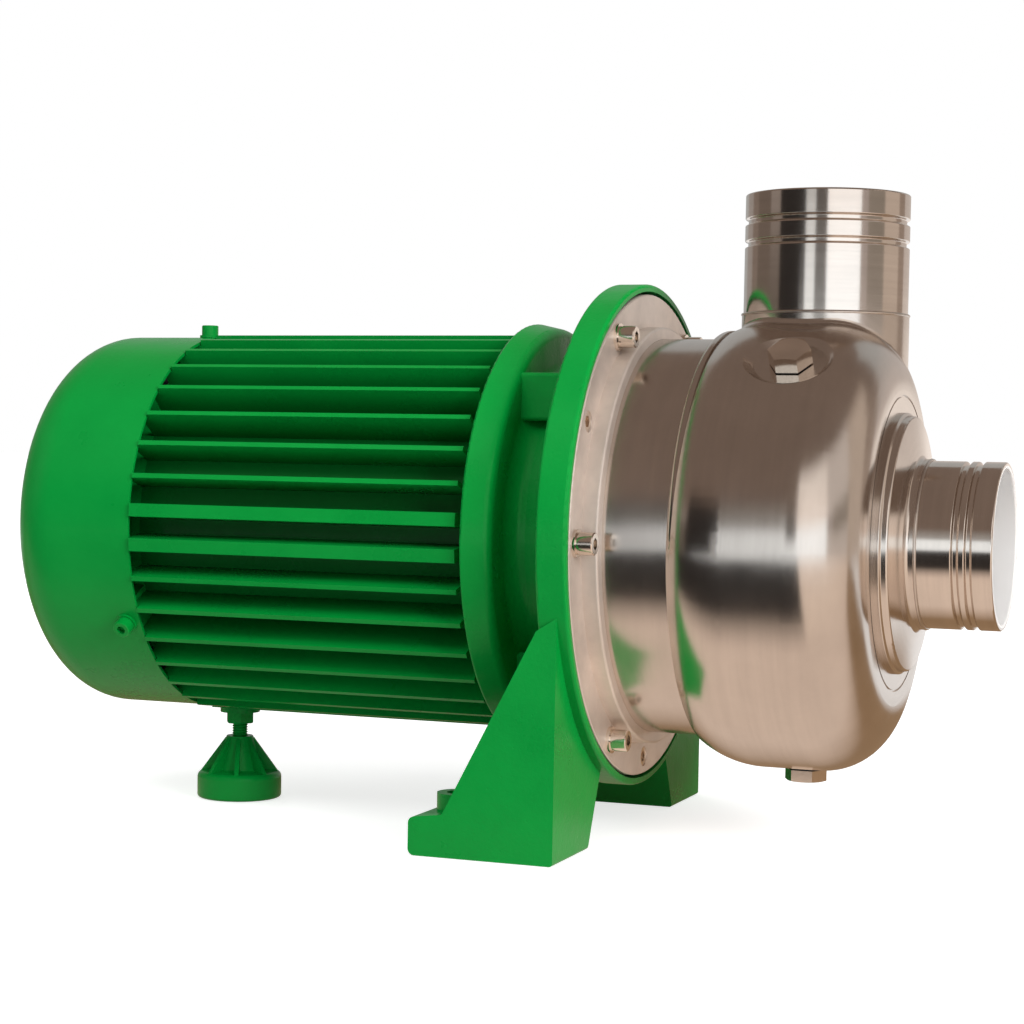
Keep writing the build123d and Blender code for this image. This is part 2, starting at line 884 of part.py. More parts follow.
def motor_shaft():
    """One shaft from the fan to the impeller nut."""
    thread_end = hub_front + impeller_washer_thickness + impeller_nut_height * 0.75
    shaft = turned(
        (fan_back - 2.0, 0),
        (fan_back - 2.0, fan_seat_radius, 1.0),
        (rear_bearing_back - 1.0, fan_seat_radius),
        (rear_bearing_back - 1.0, bearing_seat_radius),
        (rear_bearing_front, bearing_seat_radius),
        (rear_bearing_front, rotor_seat_radius),
        (front_bearing_back, rotor_seat_radius),
        (front_bearing_back, bearing_seat_radius),
        (-recess_depth, bearing_seat_radius),
        (-recess_depth + 4.0, pump_shaft_radius),
        (hub_front, pump_shaft_radius),
        (hub_front, shaft_thread_radius),
        (thread_end, shaft_thread_radius, 1.0),
        (thread_end, 0),
    )
    keyway = Pos((hub_back + hub_front) / 2, 0, pump_shaft_radius)
    return shaft - keyway * Box(hub_length - 4.0, key_width, key_height)


# Bearings
def bearing_rings(front):
    """Outer race, inner race and ball set of one deep groove ball bearing."""
    back = front - bearing_width
    middle = (front + back) / 2
    track = (bearing_seat_radius + bearing_outer_radius) / 2
    groove = torus_ring(middle, track, bearing_ball_radius + fit)
    outer = tube(back, front, bearing_outer_radius, bearing_outer_radius - bearing_ring_wall) - groove
    inner = tube(back, front, bearing_seat_radius + bearing_ring_wall, bearing_seat_radius) - groove
    ball = Pos(middle, -track, 0) * Sphere(bearing_ball_radius)
    half = bearing_ball_radius + 1.2
    cage = tube(middle - half, middle + half, track + 1.5, track - 1.5)
    pocket = Pos(middle, -track, 0) * Sphere(bearing_ball_radius + fit)
    balls = ring_of(bearing_ball_count, ball)
    for cut in ring_of(bearing_ball_count, pocket):
        cage -= cut
    return outer, inner, joined([*balls, cage])


def wave_washer():
    """Preload washer behind the rear bearing."""
    start = rear_bearing_front
    return tube(start, start + wave_washer_thickness, bearing_outer_radius - fit, bearing_outer_radius - 4.0)


# Bracket
def foot_profile():
    """Side view of one foot, from the toe up to the flange."""
    floor = -shaft_height
    heel = -foot_setback
    toe = -(foot_setback + foot_length)
    return outline(
        (heel, floor, foot_corner / 2),
        (toe, floor, foot_corner),
        (toe, floor + toe_height, foot_corner),
        (toe + toe_length, floor + toe_height + 2.0, 1.5),
        (-flange_thickness, -gusset_top),
        (heel, -gusset_rim),
    )


def foot_end_view(inset, floor):
    """Front view of one foot, drawn back by inset on its sides."""
    slope = (foot_inner - foot_inner_top) / (shaft_height - foot_arch)
    lean = sqrt(1 + slope**2) * inset
    low = floor + shaft_height
    return outline(
        (-(foot_inner - slope * low + lean), floor),
        (-(foot_outer - inset), floor),
        (-(foot_outer - inset), -gusset_rim + inset),
        (-(foot_outer - foot_top_width), -gusset_rim + inset),
        (-(foot_inner_top + lean), -foot_arch),
    )


def bracket_foot():
    """Hollow cast foot on the -Y side with a toe, a bolt boss and a bolt hole."""
    floor = -shaft_height
    block = extrude(Plane.YZ * foot_end_view(0, floor), -(foot_setback + foot_length))
    side = Pos(0, foot_outer / -2, 0) * extrude(Plane.XZ * foot_profile(), foot_outer, both=True)
    foot = block & side
    pocket_start = -(foot_setback + foot_wall)
    pocket = foot_end_view(foot_wall, floor + toe_height)
    foot -= Pos(pocket_start, 0, 0) * extrude(Plane.YZ * pocket, -foot_length)
    place = Pos(foot_bolt_x, -foot_bolt_reach, floor)
    foot += place * extrude(Circle(foot_boss_radius), toe_height + foot_boss_height)
    foot -= place * extrude(Circle(foot_bolt_hole), toe_height + foot_boss_height)
    foot -= tube(ring_back, -flange_thickness, flange_radius - 14.0)
    foot -= tube(-flange_thickness, 0, flange_radius - flange_lip)
    return foot


def rib_block():
    """Square cast block between the motor ring and the pump flange."""
    width = rib_block_width
    length = ring_to_flange + 4.0
    return Pos(
        -(flange_thickness + ring_to_flange / 2),
        -(rib_block_inner + width / 2),
        rib_block_low + width / 2,
    ) * fillet(Box(length, width, width).edges().filter_by(Axis.X), 2.0)


def bracket():
    """Cast lantern bracket with the motor end shield, pump flange and two feet."""
    bore = bearing_outer_radius + fit
    hub = bearing_outer_radius + bracket_hub_wall
    neck_bore = neck_radius - neck_wall
    shield_front = ring_back + endshield_thickness
    casting = turned(
        (0, flange_radius - flange_lip),
        (0, flange_radius, 1.5),
        (-flange_thickness, flange_radius, 1.5),
        (-flange_thickness, neck_radius, neck_fillet / 2),
        (ring_front, neck_radius, neck_fillet),
        (ring_front, ring_radius - 3.0, ring_corner),
        (ring_back, ring_radius, 1.0),
        (ring_back, frame_root_radius),
        (frame_front, frame_root_radius),
        (frame_front, frame_bore_radius - fit),
        (frame_front - spigot_depth, frame_bore_radius - fit, 0.8),
        (frame_front - spigot_depth, frame_bore_radius - 7.0),
        (ring_back, frame_bore_radius - 9.0, 3.0),
        (ring_back, hub, 3.0),
        (front_bearing_back - 1.0, hub, 1.0),
        (front_bearing_back - 1.0, bore),
        (front_bearing_front, bore),
        (front_bearing_front, bore - 7.0),
        (front_bearing_front + bearing_cap, bore - 7.0),
        (front_bearing_front + bearing_cap, hub, 2.0),
        (shield_front, hub, 3.0),
        (shield_front, neck_bore, 5.0),
        (-recess_depth, neck_bore),
        (-recess_depth, flange_radius - flange_lip),
    )
    blocks = [rib_block(), mirror(rib_block(), Plane.XY)]
    blocks += [mirror(block, Plane.XZ) for block in blocks]
    for block in blocks:
        casting += block
    foot = bracket_foot()
    casting += foot
    casting += mirror(foot, Plane.XZ)
    hole = joint_place(-recess_depth - joint_screw_length) * extrude(
        Circle(joint_screw_radius), joint_screw_length
    )
    for cut in ring_of(joint_bolt_count, hole):
        casting -= cut
    slot = SlotOverall(drip_slot_length + drip_slot_width, drip_slot_width)
    slot_place = Pos(ring_front + ring_to_flange / 2, 0, -neck_radius - 2.0)
    casting -= slot_place * Rot(0, 0, 90) * extrude(slot, neck_wall + 6.0)
    for cut in tie_rod_holes(frame_front - 1.0, 14.0, tie_rod_radius):
        casting -= cut
    return casting


def slinger():
    """Rubber lip ring that turns with the shaft in front of the bearing."""
    back = front_bearing_front + bearing_cap + running_gap
    return turned(
        (back, bearing_seat_radius + 4.0),
        (back, bearing_seat_radius + 6.5, 0.4),
        (back + 2.0, bearing_seat_radius + 3.0),
        (back + 6.0, bearing_seat_radius + 3.0, 0.8),
        (back + 6.0, bearing_seat_radius),
        (back + 1.5, bearing_seat_radius),
    )


# Motor frame, stator and rotor
def tie_rod_holes(start, length, radius):
    """Bars on the tie rod circle, for cutting holes or making rods."""
    place = Pos(start, -tie_rod_circle, 0) * Rot(0, 90, 0)
    return ring_of(4, place * extrude(Circle(radius), length), 45)


def motor_frame():
    """Finned frame with a pad for the terminal box and a lug for the foot."""
    barrel = tube(frame_back, frame_front, frame_root_radius)
    pitch = 360 / fin_count
    height = fin_radius - frame_root_radius + 1.0
    middle = frame_root_radius - 1.0 + height / 2
    length = frame_length
    centre = (frame_front + frame_back) / 2
    thin_fin = Pos(centre, -middle, 0) * Box(length, height, fin_thickness)
    wide_fin = Pos(centre, -middle, 0) * Box(length, height, wide_fin_thickness)
    pad_half = box_pad_width / 2
    frame = barrel
    for index in range(fin_count):
        angle = pitch * (index + 0.5)
        beside_parting = min(angle % 180, 180 - angle % 180) < pitch
        under_box = cos(radians(angle)) < 0 and abs(sin(radians(angle))) * fin_radius < pad_half
        if under_box:
            continue
        frame += around(angle) * (wide_fin if beside_parting else thin_fin)
    pad_depth = box_reach - frame_root_radius + 12.0
    frame += Pos(box_centre, box_reach - pad_depth / 2, 0) * Box(
        box_pad_width, pad_depth, box_pad_width
    )
    lug_height = foot_lug_bottom - frame_root_radius + 2.0
    frame += Pos(foot_screw_x, 0, -foot_lug_bottom) * extrude(Circle(foot_lug_radius), lug_height)
    frame -= tube(frame_back, frame_front, frame_bore_radius)
    seat = shield_lug_radius
    frame -= tube(frame_back, cowl_front + cowl_edge_gap, fin_radius + 2.0, seat)
    frame -= Pos(foot_screw_x, 0, -foot_lug_bottom) * extrude(
        Circle(foot_screw_radius + fit), foot_lug_bottom - frame_bore_radius
    )
    frame -= Pos(box_centre, 0, 0) * Rot(-90, 0, 0) * extrude(Circle(cable_hole_radius), box_reach)
    for cut in tie_rod_holes(frame_back, frame_length, tie_rod_radius + 0.3):
        frame -= cut
    return frame


def stator_core():
    """Stack of stator sheets."""
    return tube(stator_back, stator_front, frame_bore_radius - fit, stator_bore_radius)


def stator_windings():
    """Copper end windings at both ends of the stack."""
    ends = []
    for start in (stator_front, stator_back - winding_length):
        ends.append(
            turned(
                (start, winding_inner_radius, 4.0),
                (start, winding_outer_radius, 4.0),
                (start + winding_length, winding_outer_radius, 4.0),
                (start + winding_length, winding_inner_radius, 4.0),
            )
        )
    return joined(ends)


def rotor_core():
    """Rotor stack with its cast end rings."""
    outer = rotor_radius
    bore = rotor_seat_radius
    return turned(
        (stator_back - rotor_ring_length, bore + 6.0),
        (stator_back - rotor_ring_length, rotor_ring_radius, 1.0),
        (stator_back, rotor_ring_radius),
        (stator_back, outer),
        (stator_front, outer),
        (stator_front, rotor_ring_radius),
        (stator_front + rotor_ring_length, rotor_ring_radius, 1.0),
        (stator_front + rotor_ring_length, bore + 6.0),
        (stator_front, bore + 6.0),
        (stator_front, bore),
        (stator_back, bore),
        (stator_back, bore + 6.0),
    )


def rear_shield():
    """Rear end shield with the bearing hub and three lugs for the cowl."""
    bore = bearing_outer_radius + fit
    hub = bearing_outer_radius + bracket_hub_wall
    shield = turned(
        (shield_back, bearing_seat_radius + 2.0),
        (shield_back, frame_root_radius, 3.0),
        (frame_back, frame_root_radius),
        (frame_back, frame_bore_radius - fit),
        (frame_back + spigot_depth, frame_bore_radius - fit, 0.8),
        (frame_back + spigot_depth, frame_bore_radius - 7.0),
        (frame_back, frame_bore_radius - 9.0, 3.0),
        (frame_back, hub, 3.0),
        (rear_bearing_front + 2.0, hub, 1.0),
        (rear_bearing_front + 2.0, bore),
        (rear_bearing_back, bore),
        (rear_bearing_back, bearing_seat_radius + 2.0),
    )
    lug_depth = shield_lug_radius - frame_root_radius + 6.0
    lug = Pos(
        (shield_back + frame_back) / 2,
        -(shield_lug_radius - lug_depth / 2),
        0,
    ) * Box(rear_shield_thickness, lug_depth, shield_lug_width)
    trim = tube(shield_back, frame_back, shield_lug_radius)
    hole_place = Pos(cowl_screw_x, -shield_lug_radius - 1.0, 0) * Rot(-90, 0, 0)
    hole = hole_place * extrude(Circle(cowl_screw_radius), 14.0)
    for piece in ring_of(cowl_screw_count, lug & trim, 90):
        shield += piece
    for cut in ring_of(cowl_screw_count, hole, 90):
        shield -= cut
    for cut in tie_rod_holes(shield_back, rear_shield_thickness, tie_rod_radius + 0.3):
        shield -= cut
    return shield


def tie_rods():
    """Long screws that hold the frame between shield and bracket."""
    reach = frame_front + 11.0 - shield_back
    rod = extrude(Circle(tie_rod_radius - fit), reach)
    rod += Pos(0, 0, -2 * tie_rod_radius) * extrude(Circle(tie_rod_radius * 1.7), 2 * tie_rod_radius)
    rod -= Pos(0, 0, -2 * tie_rod_radius) * extrude(hexagon(tie_rod_radius * 1.6), tie_rod_radius)
    placed = Pos(shield_back, -tie_rod_circle, 0) * Rot(0, 90, 0) * rod
    return joined(ring_of(4, placed, 45))


def fan():
    """Moulded fan with straight blades, so that it cools in both directions."""
    hub = tube(fan_back, fan_front, fan_hub_radius, fan_seat_radius + fit)
    disc_back = fan_front - fan_disc_thickness
    disc = tube(disc_back, fan_front, fan_radius, fan_seat_radius + fit)
    blade = Plane.XZ * outline(
        (disc_back, fan_hub_radius - 2.0),
        (disc_back, fan_radius),
        (disc_back - fan_blade_width * 0.6, fan_radius, 3.0),
        (disc_back - fan_blade_width, fan_radius - 18.0, 6.0),
        (disc_back - fan_blade_width * 0.8, fan_hub_radius - 2.0),
    )
    wheel = hub + disc
    solid_blade = extrude(blade, fan_blade_thickness / 2, both=True)
    for piece in ring_of(fan_blade_count, Rot(90, 0, 0) * solid_blade):
        wheel += piece
    return wheel - tube(fan_back - 5.0, fan_front, fan_seat_radius + fit)


def fan_cowl():
    """Pressed cowl with a domed, perforated back."""
    sheet = cowl_sheet
    edge = cowl_radius
    corner = cowl_corner
    back = cowl_back
    dome = back - cowl_dome
    flat = edge - corner
    diagonal = corner * (1 - 1 / sqrt(2))
    inner_diagonal = (corner - sheet) * (1 - 1 / sqrt(2))
    edges = [
        Line((cowl_front, edge), (back + corner, edge)),
        ThreePointArc((back + corner, edge), (back + diagonal, edge - diagonal), (back, flat)),
        ThreePointArc((back, flat), (dome + cowl_dome / 4, flat / 2), (dome, 0)),
        Line((dome, 0), (dome + sheet, 0)),
        ThreePointArc((dome + sheet, 0), (dome + cowl_dome / 4 + sheet, flat / 2), (back + sheet, flat)),
        ThreePointArc(
            (back + sheet, flat),
            (back + sheet + inner_diagonal, edge - sheet - inner_diagonal),
            (back + corner, edge - sheet),
        ),
        Line((back + corner, edge - sheet), (cowl_front, edge - sheet)),
        Line((cowl_front, edge - sheet), (cowl_front, edge)),
    ]
    cowl = revolve(Plane.XZ * make_face(edges), Axis.X)
    holes = [Pos(0, 0, 0)]
    for row in range(1, grille_rows + 1):
        for index in range(6 * row):
            angle = 2 * pi * index / (6 * row)
            holes.append(Pos(row * grille_pitch * cos(angle), row * grille_pitch * sin(angle), 0))
    pattern = Sketch() + [hole * hexagon(2 * grille_hole) for hole in holes]
    punch = Pos(dome - 2.0, 0, 0) * extrude(Plane.YZ * pattern, cowl_dome + sheet + 4.0)
    cowl -= punch
    screw_hole = Pos(cowl_screw_x, -edge - 1.0, 0) * Rot(-90, 0, 0)
    for cut in ring_of(cowl_screw_count, screw_hole * extrude(Circle(cowl_screw_radius + 0.4), 6.0), 90):
        cowl -= cut
    return cowl


def cowl_place(height):
    """Place on the cowl's skin for its screws, pointing out."""
    return Pos(cowl_screw_x, -(cowl_radius + height), 0) * Rot(90, 0, 0)


def cowl_washers():
    washer = flat_washer(cowl_screw_radius, cowl_washer_thickness)
    return joined(ring_of(cowl_screw_count, cowl_place(0) * washer, 90))


def cowl_screws():
    screw = cap_screw(cowl_screw_radius, cowl_screw_length)
    return joined(ring_of(cowl_screw_count, cowl_place(cowl_washer_thickness) * screw, 90))


# Terminal box
def box_place(height):
    """Place on the terminal box pad, pointing out to +Y."""
    return Pos(box_centre, box_reach + height, 0) * Rot(-90, 0, 0)


def rounded_slab(width, height, thickness, corner):
    """Flat block with rounded upright corners, on the origin."""
    return extrude(RectangleRounded(width, height, corner), thickness)


def terminal_box():
    """Open box on the motor frame that holds the terminal board."""
    box = rounded_slab(box_width, box_height, box_depth, box_corner)
    wide = box_width - 2 * box_wall
    high = box_height - 2 * box_wall
    inner = rounded_slab(wide, high, box_depth, box_corner - box_wall)
    box -= Pos(0, 0, box_wall) * inner
    box -= extrude(Circle(cable_hole_radius), box_wall)
    gland_hole = Pos(0, box_height / 2, box_depth / 2) * Rot(90, 0, 0)
    box -= gland_hole * extrude(Circle(gland_radius), 2 * box_wall, both=True)
    for place in box_screw_places():
        box += place * Pos(0, 0, box_wall) * extrude(Circle(box_pillar_radius), box_depth - box_wall)
        box -= place * Pos(0, 0, box_depth - 12.0) * extrude(Circle(box_screw_radius), 12.0)
    return box_place(0) * box


def lid_opening(height):
    """Opening inside the rim of the gasket and the lid."""
    return rounded_slab(box_width - 2 * box_rim, box_height - 2 * box_rim, height, box_corner / 2)


def terminal_gasket():
    gasket = rounded_slab(box_width, box_height, box_gasket_thickness, box_corner)
    gasket -= lid_opening(box_gasket_thickness)
    for place in box_screw_places():
        gasket -= place * extrude(Circle(box_screw_radius + 0.3), box_gasket_thickness)
    return box_place(box_depth) * gasket


def box_screw_places():
    """Places of the four lid screws, seen from outside the box."""
    reach_x = box_width / 2 - box_wall - box_pillar_inset
    reach_y = box_height / 2 - box_wall - box_pillar_inset
    return [Pos(x, y, 0) for x in (-reach_x, reach_x) for y in (-reach_y, reach_y)]


def terminal_lid():
    """Lid with rounded edges and sunk screw holes."""
    lid = rounded_slab(box_width, box_height, box_lid_height, box_corner)
    lid = fillet(lid.faces().sort_by(Axis.Z)[-1].edges(), 3.0)
    lid -= lid_opening(box_lid_height - box_wall)
    for place in box_screw_places():
        lid -= place * extrude(Circle(box_screw_radius + 0.3), box_lid_height)
        lid -= place * Pos(0, 0, box_lid_height - 3.0) * extrude(Circle(4.2), 3.0)
    return box_place(box_depth + box_gasket_thickness) * lid


def terminal_screws():
    seat = box_depth + box_gasket_thickness + box_lid_height - 3.0
    screw = extrude(Circle(3.8), 2.6) - Pos(0, 0, 1.4) * Box(7.0, 1.0, 2.4)
    screw += Pos(0, 0, -18.0) * extrude(Circle(box_screw_radius - fit), 18.0)
    return joined([box_place(seat) * place * screw for place in box_screw_places()])


def terminal_board():
    """Moulded board with raised walls between its studs."""
    board = rounded_slab(board_width, board_height, board_thickness, 2.0)
    for x in (-board_width / 6, board_width / 6):
        board += Pos(x, 0, board_thickness + 2.0) * Box(2.0, board_height, 4.0)
    for place in stud_places():
        board -= place * extrude(Circle(stud_radius + fit), board_thickness)
    return box_place(box_wall) * Pos(0, -board_rise, 0) * board


def stud_places():
    """Two rows of three studs on the board."""
    return [
        Pos(x * board_width / 3, y * board_height / 4, 0) for x in (-1, 0, 1) for y in (-1, 1)
    ]


def terminal_studs():
    stud = extrude(Circle(stud_radius), board_thickness + 9.0)
    stud += Pos(0, 0, board_thickness) * extrude(hexagon(7.0), 3.0)
    seat = box_place(box_wall) * Pos(0, -board_rise, 0)
    placed = [seat * place * stud for place in stud_places()]
    return joined(placed)


def gland_place(height):
    """Place on the cable gland's axis, pointing down from the box wall."""
    return Pos(box_centre, box_reach + box_depth / 2, -box_height / 2 - height) * Rot(180, 0, 0)


def gland_body():
    """Hex body of the cable gland, through the lower wall of the box."""
    body = Pos(0, 0, -box_wall - 5.0) * extrude(Circle(gland_radius - fit), box_wall + 5.0)
    body += extrude(hexagon(gland_hex), 6.0)
    body += Pos(0, 0, 6.0) * extrude(Circle(gland_radius - 0.6), 8.0)
    body -= Pos(0, 0, -box_wall - 5.0) * extrude(Circle(gland_bore), box_wall + 19.0)
    return gland_place(0) * body


def gland_seal():
    """Rubber sleeve inside the gland, open for a cable."""
    return gland_place(-4.0) * extrude(Circle(gland_bore) - Circle(cable_bore), 16.0)


def gland_nut():
    """Domed clamping nut of the cable gland."""
    nut = extrude(hexagon(gland_hex), 9.0)
    nut += Pos(0, 0, 9.0) * extrude(Circle(gland_hex * 0.48), 5.0, taper=25)
    nut -= extrude(Circle(gland_radius - 0.6 + fit), 8.0)
    nut -= extrude(Circle(gland_bore), 14.0)
    return gland_place(6.0) * nut


# Adjustable foot
def foot_screw():
    """Threaded stud between the frame lug and the foot."""
    low = -(foot_cone_top + foot_screw_reach)
    high = -(foot_lug_bottom - 22.0)
    return Pos(foot_screw_x, 0, low) * extrude(Circle(foot_screw_radius), high - low)


def foot_lock_nut():
    nut = extrude(hexagon(foot_nut_hex), foot_nut_height)
    nut = chamfer(nut.edges().group_by(Axis.Z)[0], 0.6)
    nut -= extrude(Circle(foot_screw_radius + running_gap), foot_nut_height)
    return Pos(foot_screw_x, 0, -foot_lug_bottom - foot_nut_height) * nut


def foot_base():
    """Ribbed cone on a round pad."""
    top = shaft_height - foot_cone_top
    profile = outline(
        (0, 0),
        (foot_pad_radius, 0, 1.5),
        (foot_pad_radius, foot_pad_height, 3.0),
        (foot_cone_base_radius + 1.5, foot_pad_height + 1.0, 1.0),
        (foot_cone_base_radius, foot_pad_height + 1.5),
        (foot_cone_top_radius, top),
        (0, top),
    )
    base = revolve(Plane.XZ * profile, Axis.Z)
    rib = Plane.XZ * outline(
        (0, foot_pad_height),
        (foot_pad_radius - 1.5, foot_pad_height),
        (foot_cone_top_radius + 0.6, top - 1.0),
        (0, top - 1.0),
    )
    solid_rib = extrude(rib, foot_rib_thickness / 2, both=True)
    for index in range(foot_rib_count):
        base += Rot(0, 0, 360 / foot_rib_count * (index + 0.5)) * solid_rib
    pocket = foot_screw_reach + running_gap
    base -= Pos(0, 0, top - pocket) * extrude(Circle(foot_screw_radius + fit), pocket)
    return Pos(foot_screw_x, 0, -shaft_height) * base


front_outer_race, front_inner_race, front_balls = bearing_rings(front_bearing_front)
rear_outer_race, rear_inner_race, rear_balls = bearing_rings(rear_bearing_front)

nodes = {
    "casing_plate": casing_plate(),
    "casing_barrel": casing_barrel(),
    "casing_shell": casing_shell(),
    "suction_ring": suction_ring(),
    "suction_stub": suction_stub(),
    "discharge_stub": discharge_stub(),
    "wear_plate": wear_plate(),
    "filler_boss": filler_boss(),
    "filler_gasket": filler_gasket(),
    "filler_plug": filler_plug(),
    "drain_gasket": drain_gasket(),
    "drain_plug": drain_plug(),
    "joint_screws": joint_screws(),
    "joint_washers": joint_washers(),
    "joint_spring_washers": joint_spring_washers(),
    "jack_screws": jack_screws(),
    "casing_o_ring": casing_o_ring(),
    "seal_cover": seal_cover(),
    "seal_seat_cup": seal_seat_cup(),
    "seal_seat_ring": seal_seat_ring(),
    "seal_face_ring": seal_face_ring(),
    "seal_bellows": seal_bellows(),
    "seal_spring": seal_spring(),
    "seal_collar": seal_collar(),
    "impeller": impeller(),
    "impeller_key": impeller_key(),
    "impeller_washer": impeller_washer(),
    "impeller_nut": impeller_nut(),
    "motor_shaft": motor_shaft(),
    "slinger": slinger(),
    "bracket": bracket(),
    "front_outer_race": front_outer_race,
    "front_inner_race": front_inner_race,
    "front_balls": front_balls,
    "rear_outer_race": rear_outer_race,
    "rear_inner_race": rear_inner_race,
    "rear_balls": rear_balls,
    "wave_washer": wave_washer(),
    "motor_frame": motor_frame(),
    "stator_core": stator_core(),
    "stator_windings": stator_windings(),
    "rotor_core": rotor_core(),
    "rear_shield": rear_shield(),
    "tie_rods": tie_rods(),
    "fan": fan(),
    "fan_cowl": fan_cowl(),
    "cowl_washers": cowl_washers(),
    "cowl_screws": cowl_screws(),
    "terminal_box": terminal_box(),
    "terminal_gasket": terminal_gasket(),
    "terminal_lid": terminal_lid(),
    "terminal_screws": terminal_screws(),
    "terminal_board": terminal_board(),
    "terminal_studs": terminal_studs(),
    "gland_body": gland_body(),
    "gland_seal": gland_seal(),
    "gland_nut": gland_nut(),
    "foot_screw": foot_screw(),
    "foot_lock_nut": foot_lock_nut(),
    "foot_base": foot_base(),
}

os.makedirs("parts", exist_ok=True)
for name, piece in nodes.items():
    export_step(Pos(-foot_bolt_x, 0, shaft_height) * piece, f"parts/{name}.step")
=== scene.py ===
import math

import bmesh
import bpy
from bpy.props import FloatProperty, FloatVectorProperty, IntProperty, PointerProperty
from mathutils import Matrix, Vector


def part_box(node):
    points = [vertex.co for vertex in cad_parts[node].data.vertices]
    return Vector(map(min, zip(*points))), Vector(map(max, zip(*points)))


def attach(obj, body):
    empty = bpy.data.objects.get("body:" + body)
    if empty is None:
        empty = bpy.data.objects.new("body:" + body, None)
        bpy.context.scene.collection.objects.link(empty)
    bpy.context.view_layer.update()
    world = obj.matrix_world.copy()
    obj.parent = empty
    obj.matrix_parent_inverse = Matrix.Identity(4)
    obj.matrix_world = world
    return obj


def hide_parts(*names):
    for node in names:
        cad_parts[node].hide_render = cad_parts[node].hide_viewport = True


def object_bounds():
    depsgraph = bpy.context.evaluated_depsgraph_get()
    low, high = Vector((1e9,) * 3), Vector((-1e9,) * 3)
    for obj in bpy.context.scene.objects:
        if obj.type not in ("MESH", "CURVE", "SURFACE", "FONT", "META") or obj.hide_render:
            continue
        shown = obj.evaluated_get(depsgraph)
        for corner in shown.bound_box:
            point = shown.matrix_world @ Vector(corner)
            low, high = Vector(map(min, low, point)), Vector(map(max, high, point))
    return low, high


bl_info = {
    "name": "Centrifugal pump finish",
    "version": (1, 0, 0),
    "blender": (4, 5, 0),
    "location": "3D View > Sidebar > Pump",
    "description": "Finishes the packed pump model: materials, weld seams, threads, studio and camera",
    "category": "Object",
}

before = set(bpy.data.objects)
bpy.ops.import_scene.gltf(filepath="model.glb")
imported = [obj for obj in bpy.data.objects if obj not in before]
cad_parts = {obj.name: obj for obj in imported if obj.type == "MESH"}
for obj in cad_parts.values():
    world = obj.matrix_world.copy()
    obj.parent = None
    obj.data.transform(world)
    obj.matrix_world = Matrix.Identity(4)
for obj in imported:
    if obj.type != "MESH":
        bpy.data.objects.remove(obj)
cad_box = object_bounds()


def middle(box):
    """Centre of a box given by its two corners."""
    return (Vector(box[0]) + Vector(box[1])) / 2


def half_height(box):
    """Half the height of a box."""
    return (box[1][2] - box[0][2]) / 2


# Places read from the frame, in metres
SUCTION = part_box("suction_stub")
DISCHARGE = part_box("discharge_stub")
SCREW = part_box("foot_screw")
SHAFT = middle(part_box("casing_barrel"))
UPRIGHT = middle(DISCHARGE)
STUB_RADIUS = half_height(SUCTION)
FIN_RADIUS = half_height(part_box("motor_frame"))
FLOOR_HEIGHT = cad_box[0][2]

# Wall of the two stubs, in metres, and its inside, painted pale and matt as a painted reflection of the white
# seen down the bore
STUB_WALL = 0.0016
BORE_REFLECTION_COLOUR = (0.94, 0.93, 0.92)
INSIDE_METAL = 0.3
INSIDE_MATT = 0.32

# Edges flatter than this are shaded smooth
SMOOTH_ANGLE = math.radians(40)

# Weld beads: sides of the bead, steps in each ripple, share of it that stands up, and how far
BEAD_SIDES = 10
RIPPLE_STEPS = 4
RIPPLE_CREST = 0.26
RIPPLE_RISE = 1.003

# Thread: sides of the core, steps in each turn, narrowing of the ridge, and its half width in pitches
CORE_SIDES = 48
TURN_STEPS = 24
RIDGE_DEPTH = 0.98
RIDGE_WIDTH = 0.46

# Colours that no setting changes
BLASTED = (0.85, 0.76, 0.69)
MACHINED = (0.88, 0.79, 0.70)
ZINC = (0.62, 0.63, 0.65)
CAST_STEEL = (0.56, 0.52, 0.48)
GROUND_STEEL = (0.62, 0.61, 0.60)
BEARING_STEEL = (0.70, 0.70, 0.72)
CORE_SHEET = (0.22, 0.22, 0.24)
COPPER = (0.62, 0.25, 0.09)
BRASS = (0.72, 0.50, 0.20)
RUBBER = (0.018, 0.018, 0.02)
PLASTIC = (0.025, 0.025, 0.028)
CARBON = (0.03, 0.03, 0.035)
CERAMIC = (0.82, 0.80, 0.74)


# Sizes and colours a user would change
class PumpPaint(bpy.types.PropertyGroup):
    colour: FloatVectorProperty(
        name="Paint colour", description="Colour of the gloss paint",
        subtype="COLOR", size=3, min=0, max=1, default=(0.001, 0.264, 0.036))
    roughness: FloatProperty(
        name="Paint roughness", description="Roughness of the paint film",
        subtype="FACTOR", min=0, max=1, default=0.30)
    grain: FloatProperty(
        name="Cast grain", description="Size of the grain that shows through the paint on castings",
        subtype="DISTANCE", unit="LENGTH", min=0.0002, max=0.01, default=0.0016)


class PumpSteel(bpy.types.PropertyGroup):
    colour: FloatVectorProperty(
        name="Steel colour", description="Colour of the stainless sheet",
        subtype="COLOR", size=3, min=0, max=1, default=(0.66, 0.60, 0.55))
    roughness: FloatProperty(
        name="Steel roughness", description="Roughness of the brushed sheet",
        subtype="FACTOR", min=0, max=1, default=0.19)
    polish: FloatProperty(
        name="Stub roughness", description="Roughness of the turned pipe stubs",
        subtype="FACTOR", min=0, max=1, default=0.13)
    seam: FloatProperty(
        name="Weld bead", description="Half width of the weld beads",
        subtype="DISTANCE", unit="LENGTH", min=0.0002, max=0.004, default=0.0008)
    ripples: IntProperty(
        name="Weld ripples", description="Ripples round each weld bead",
        min=24, max=360, default=150)


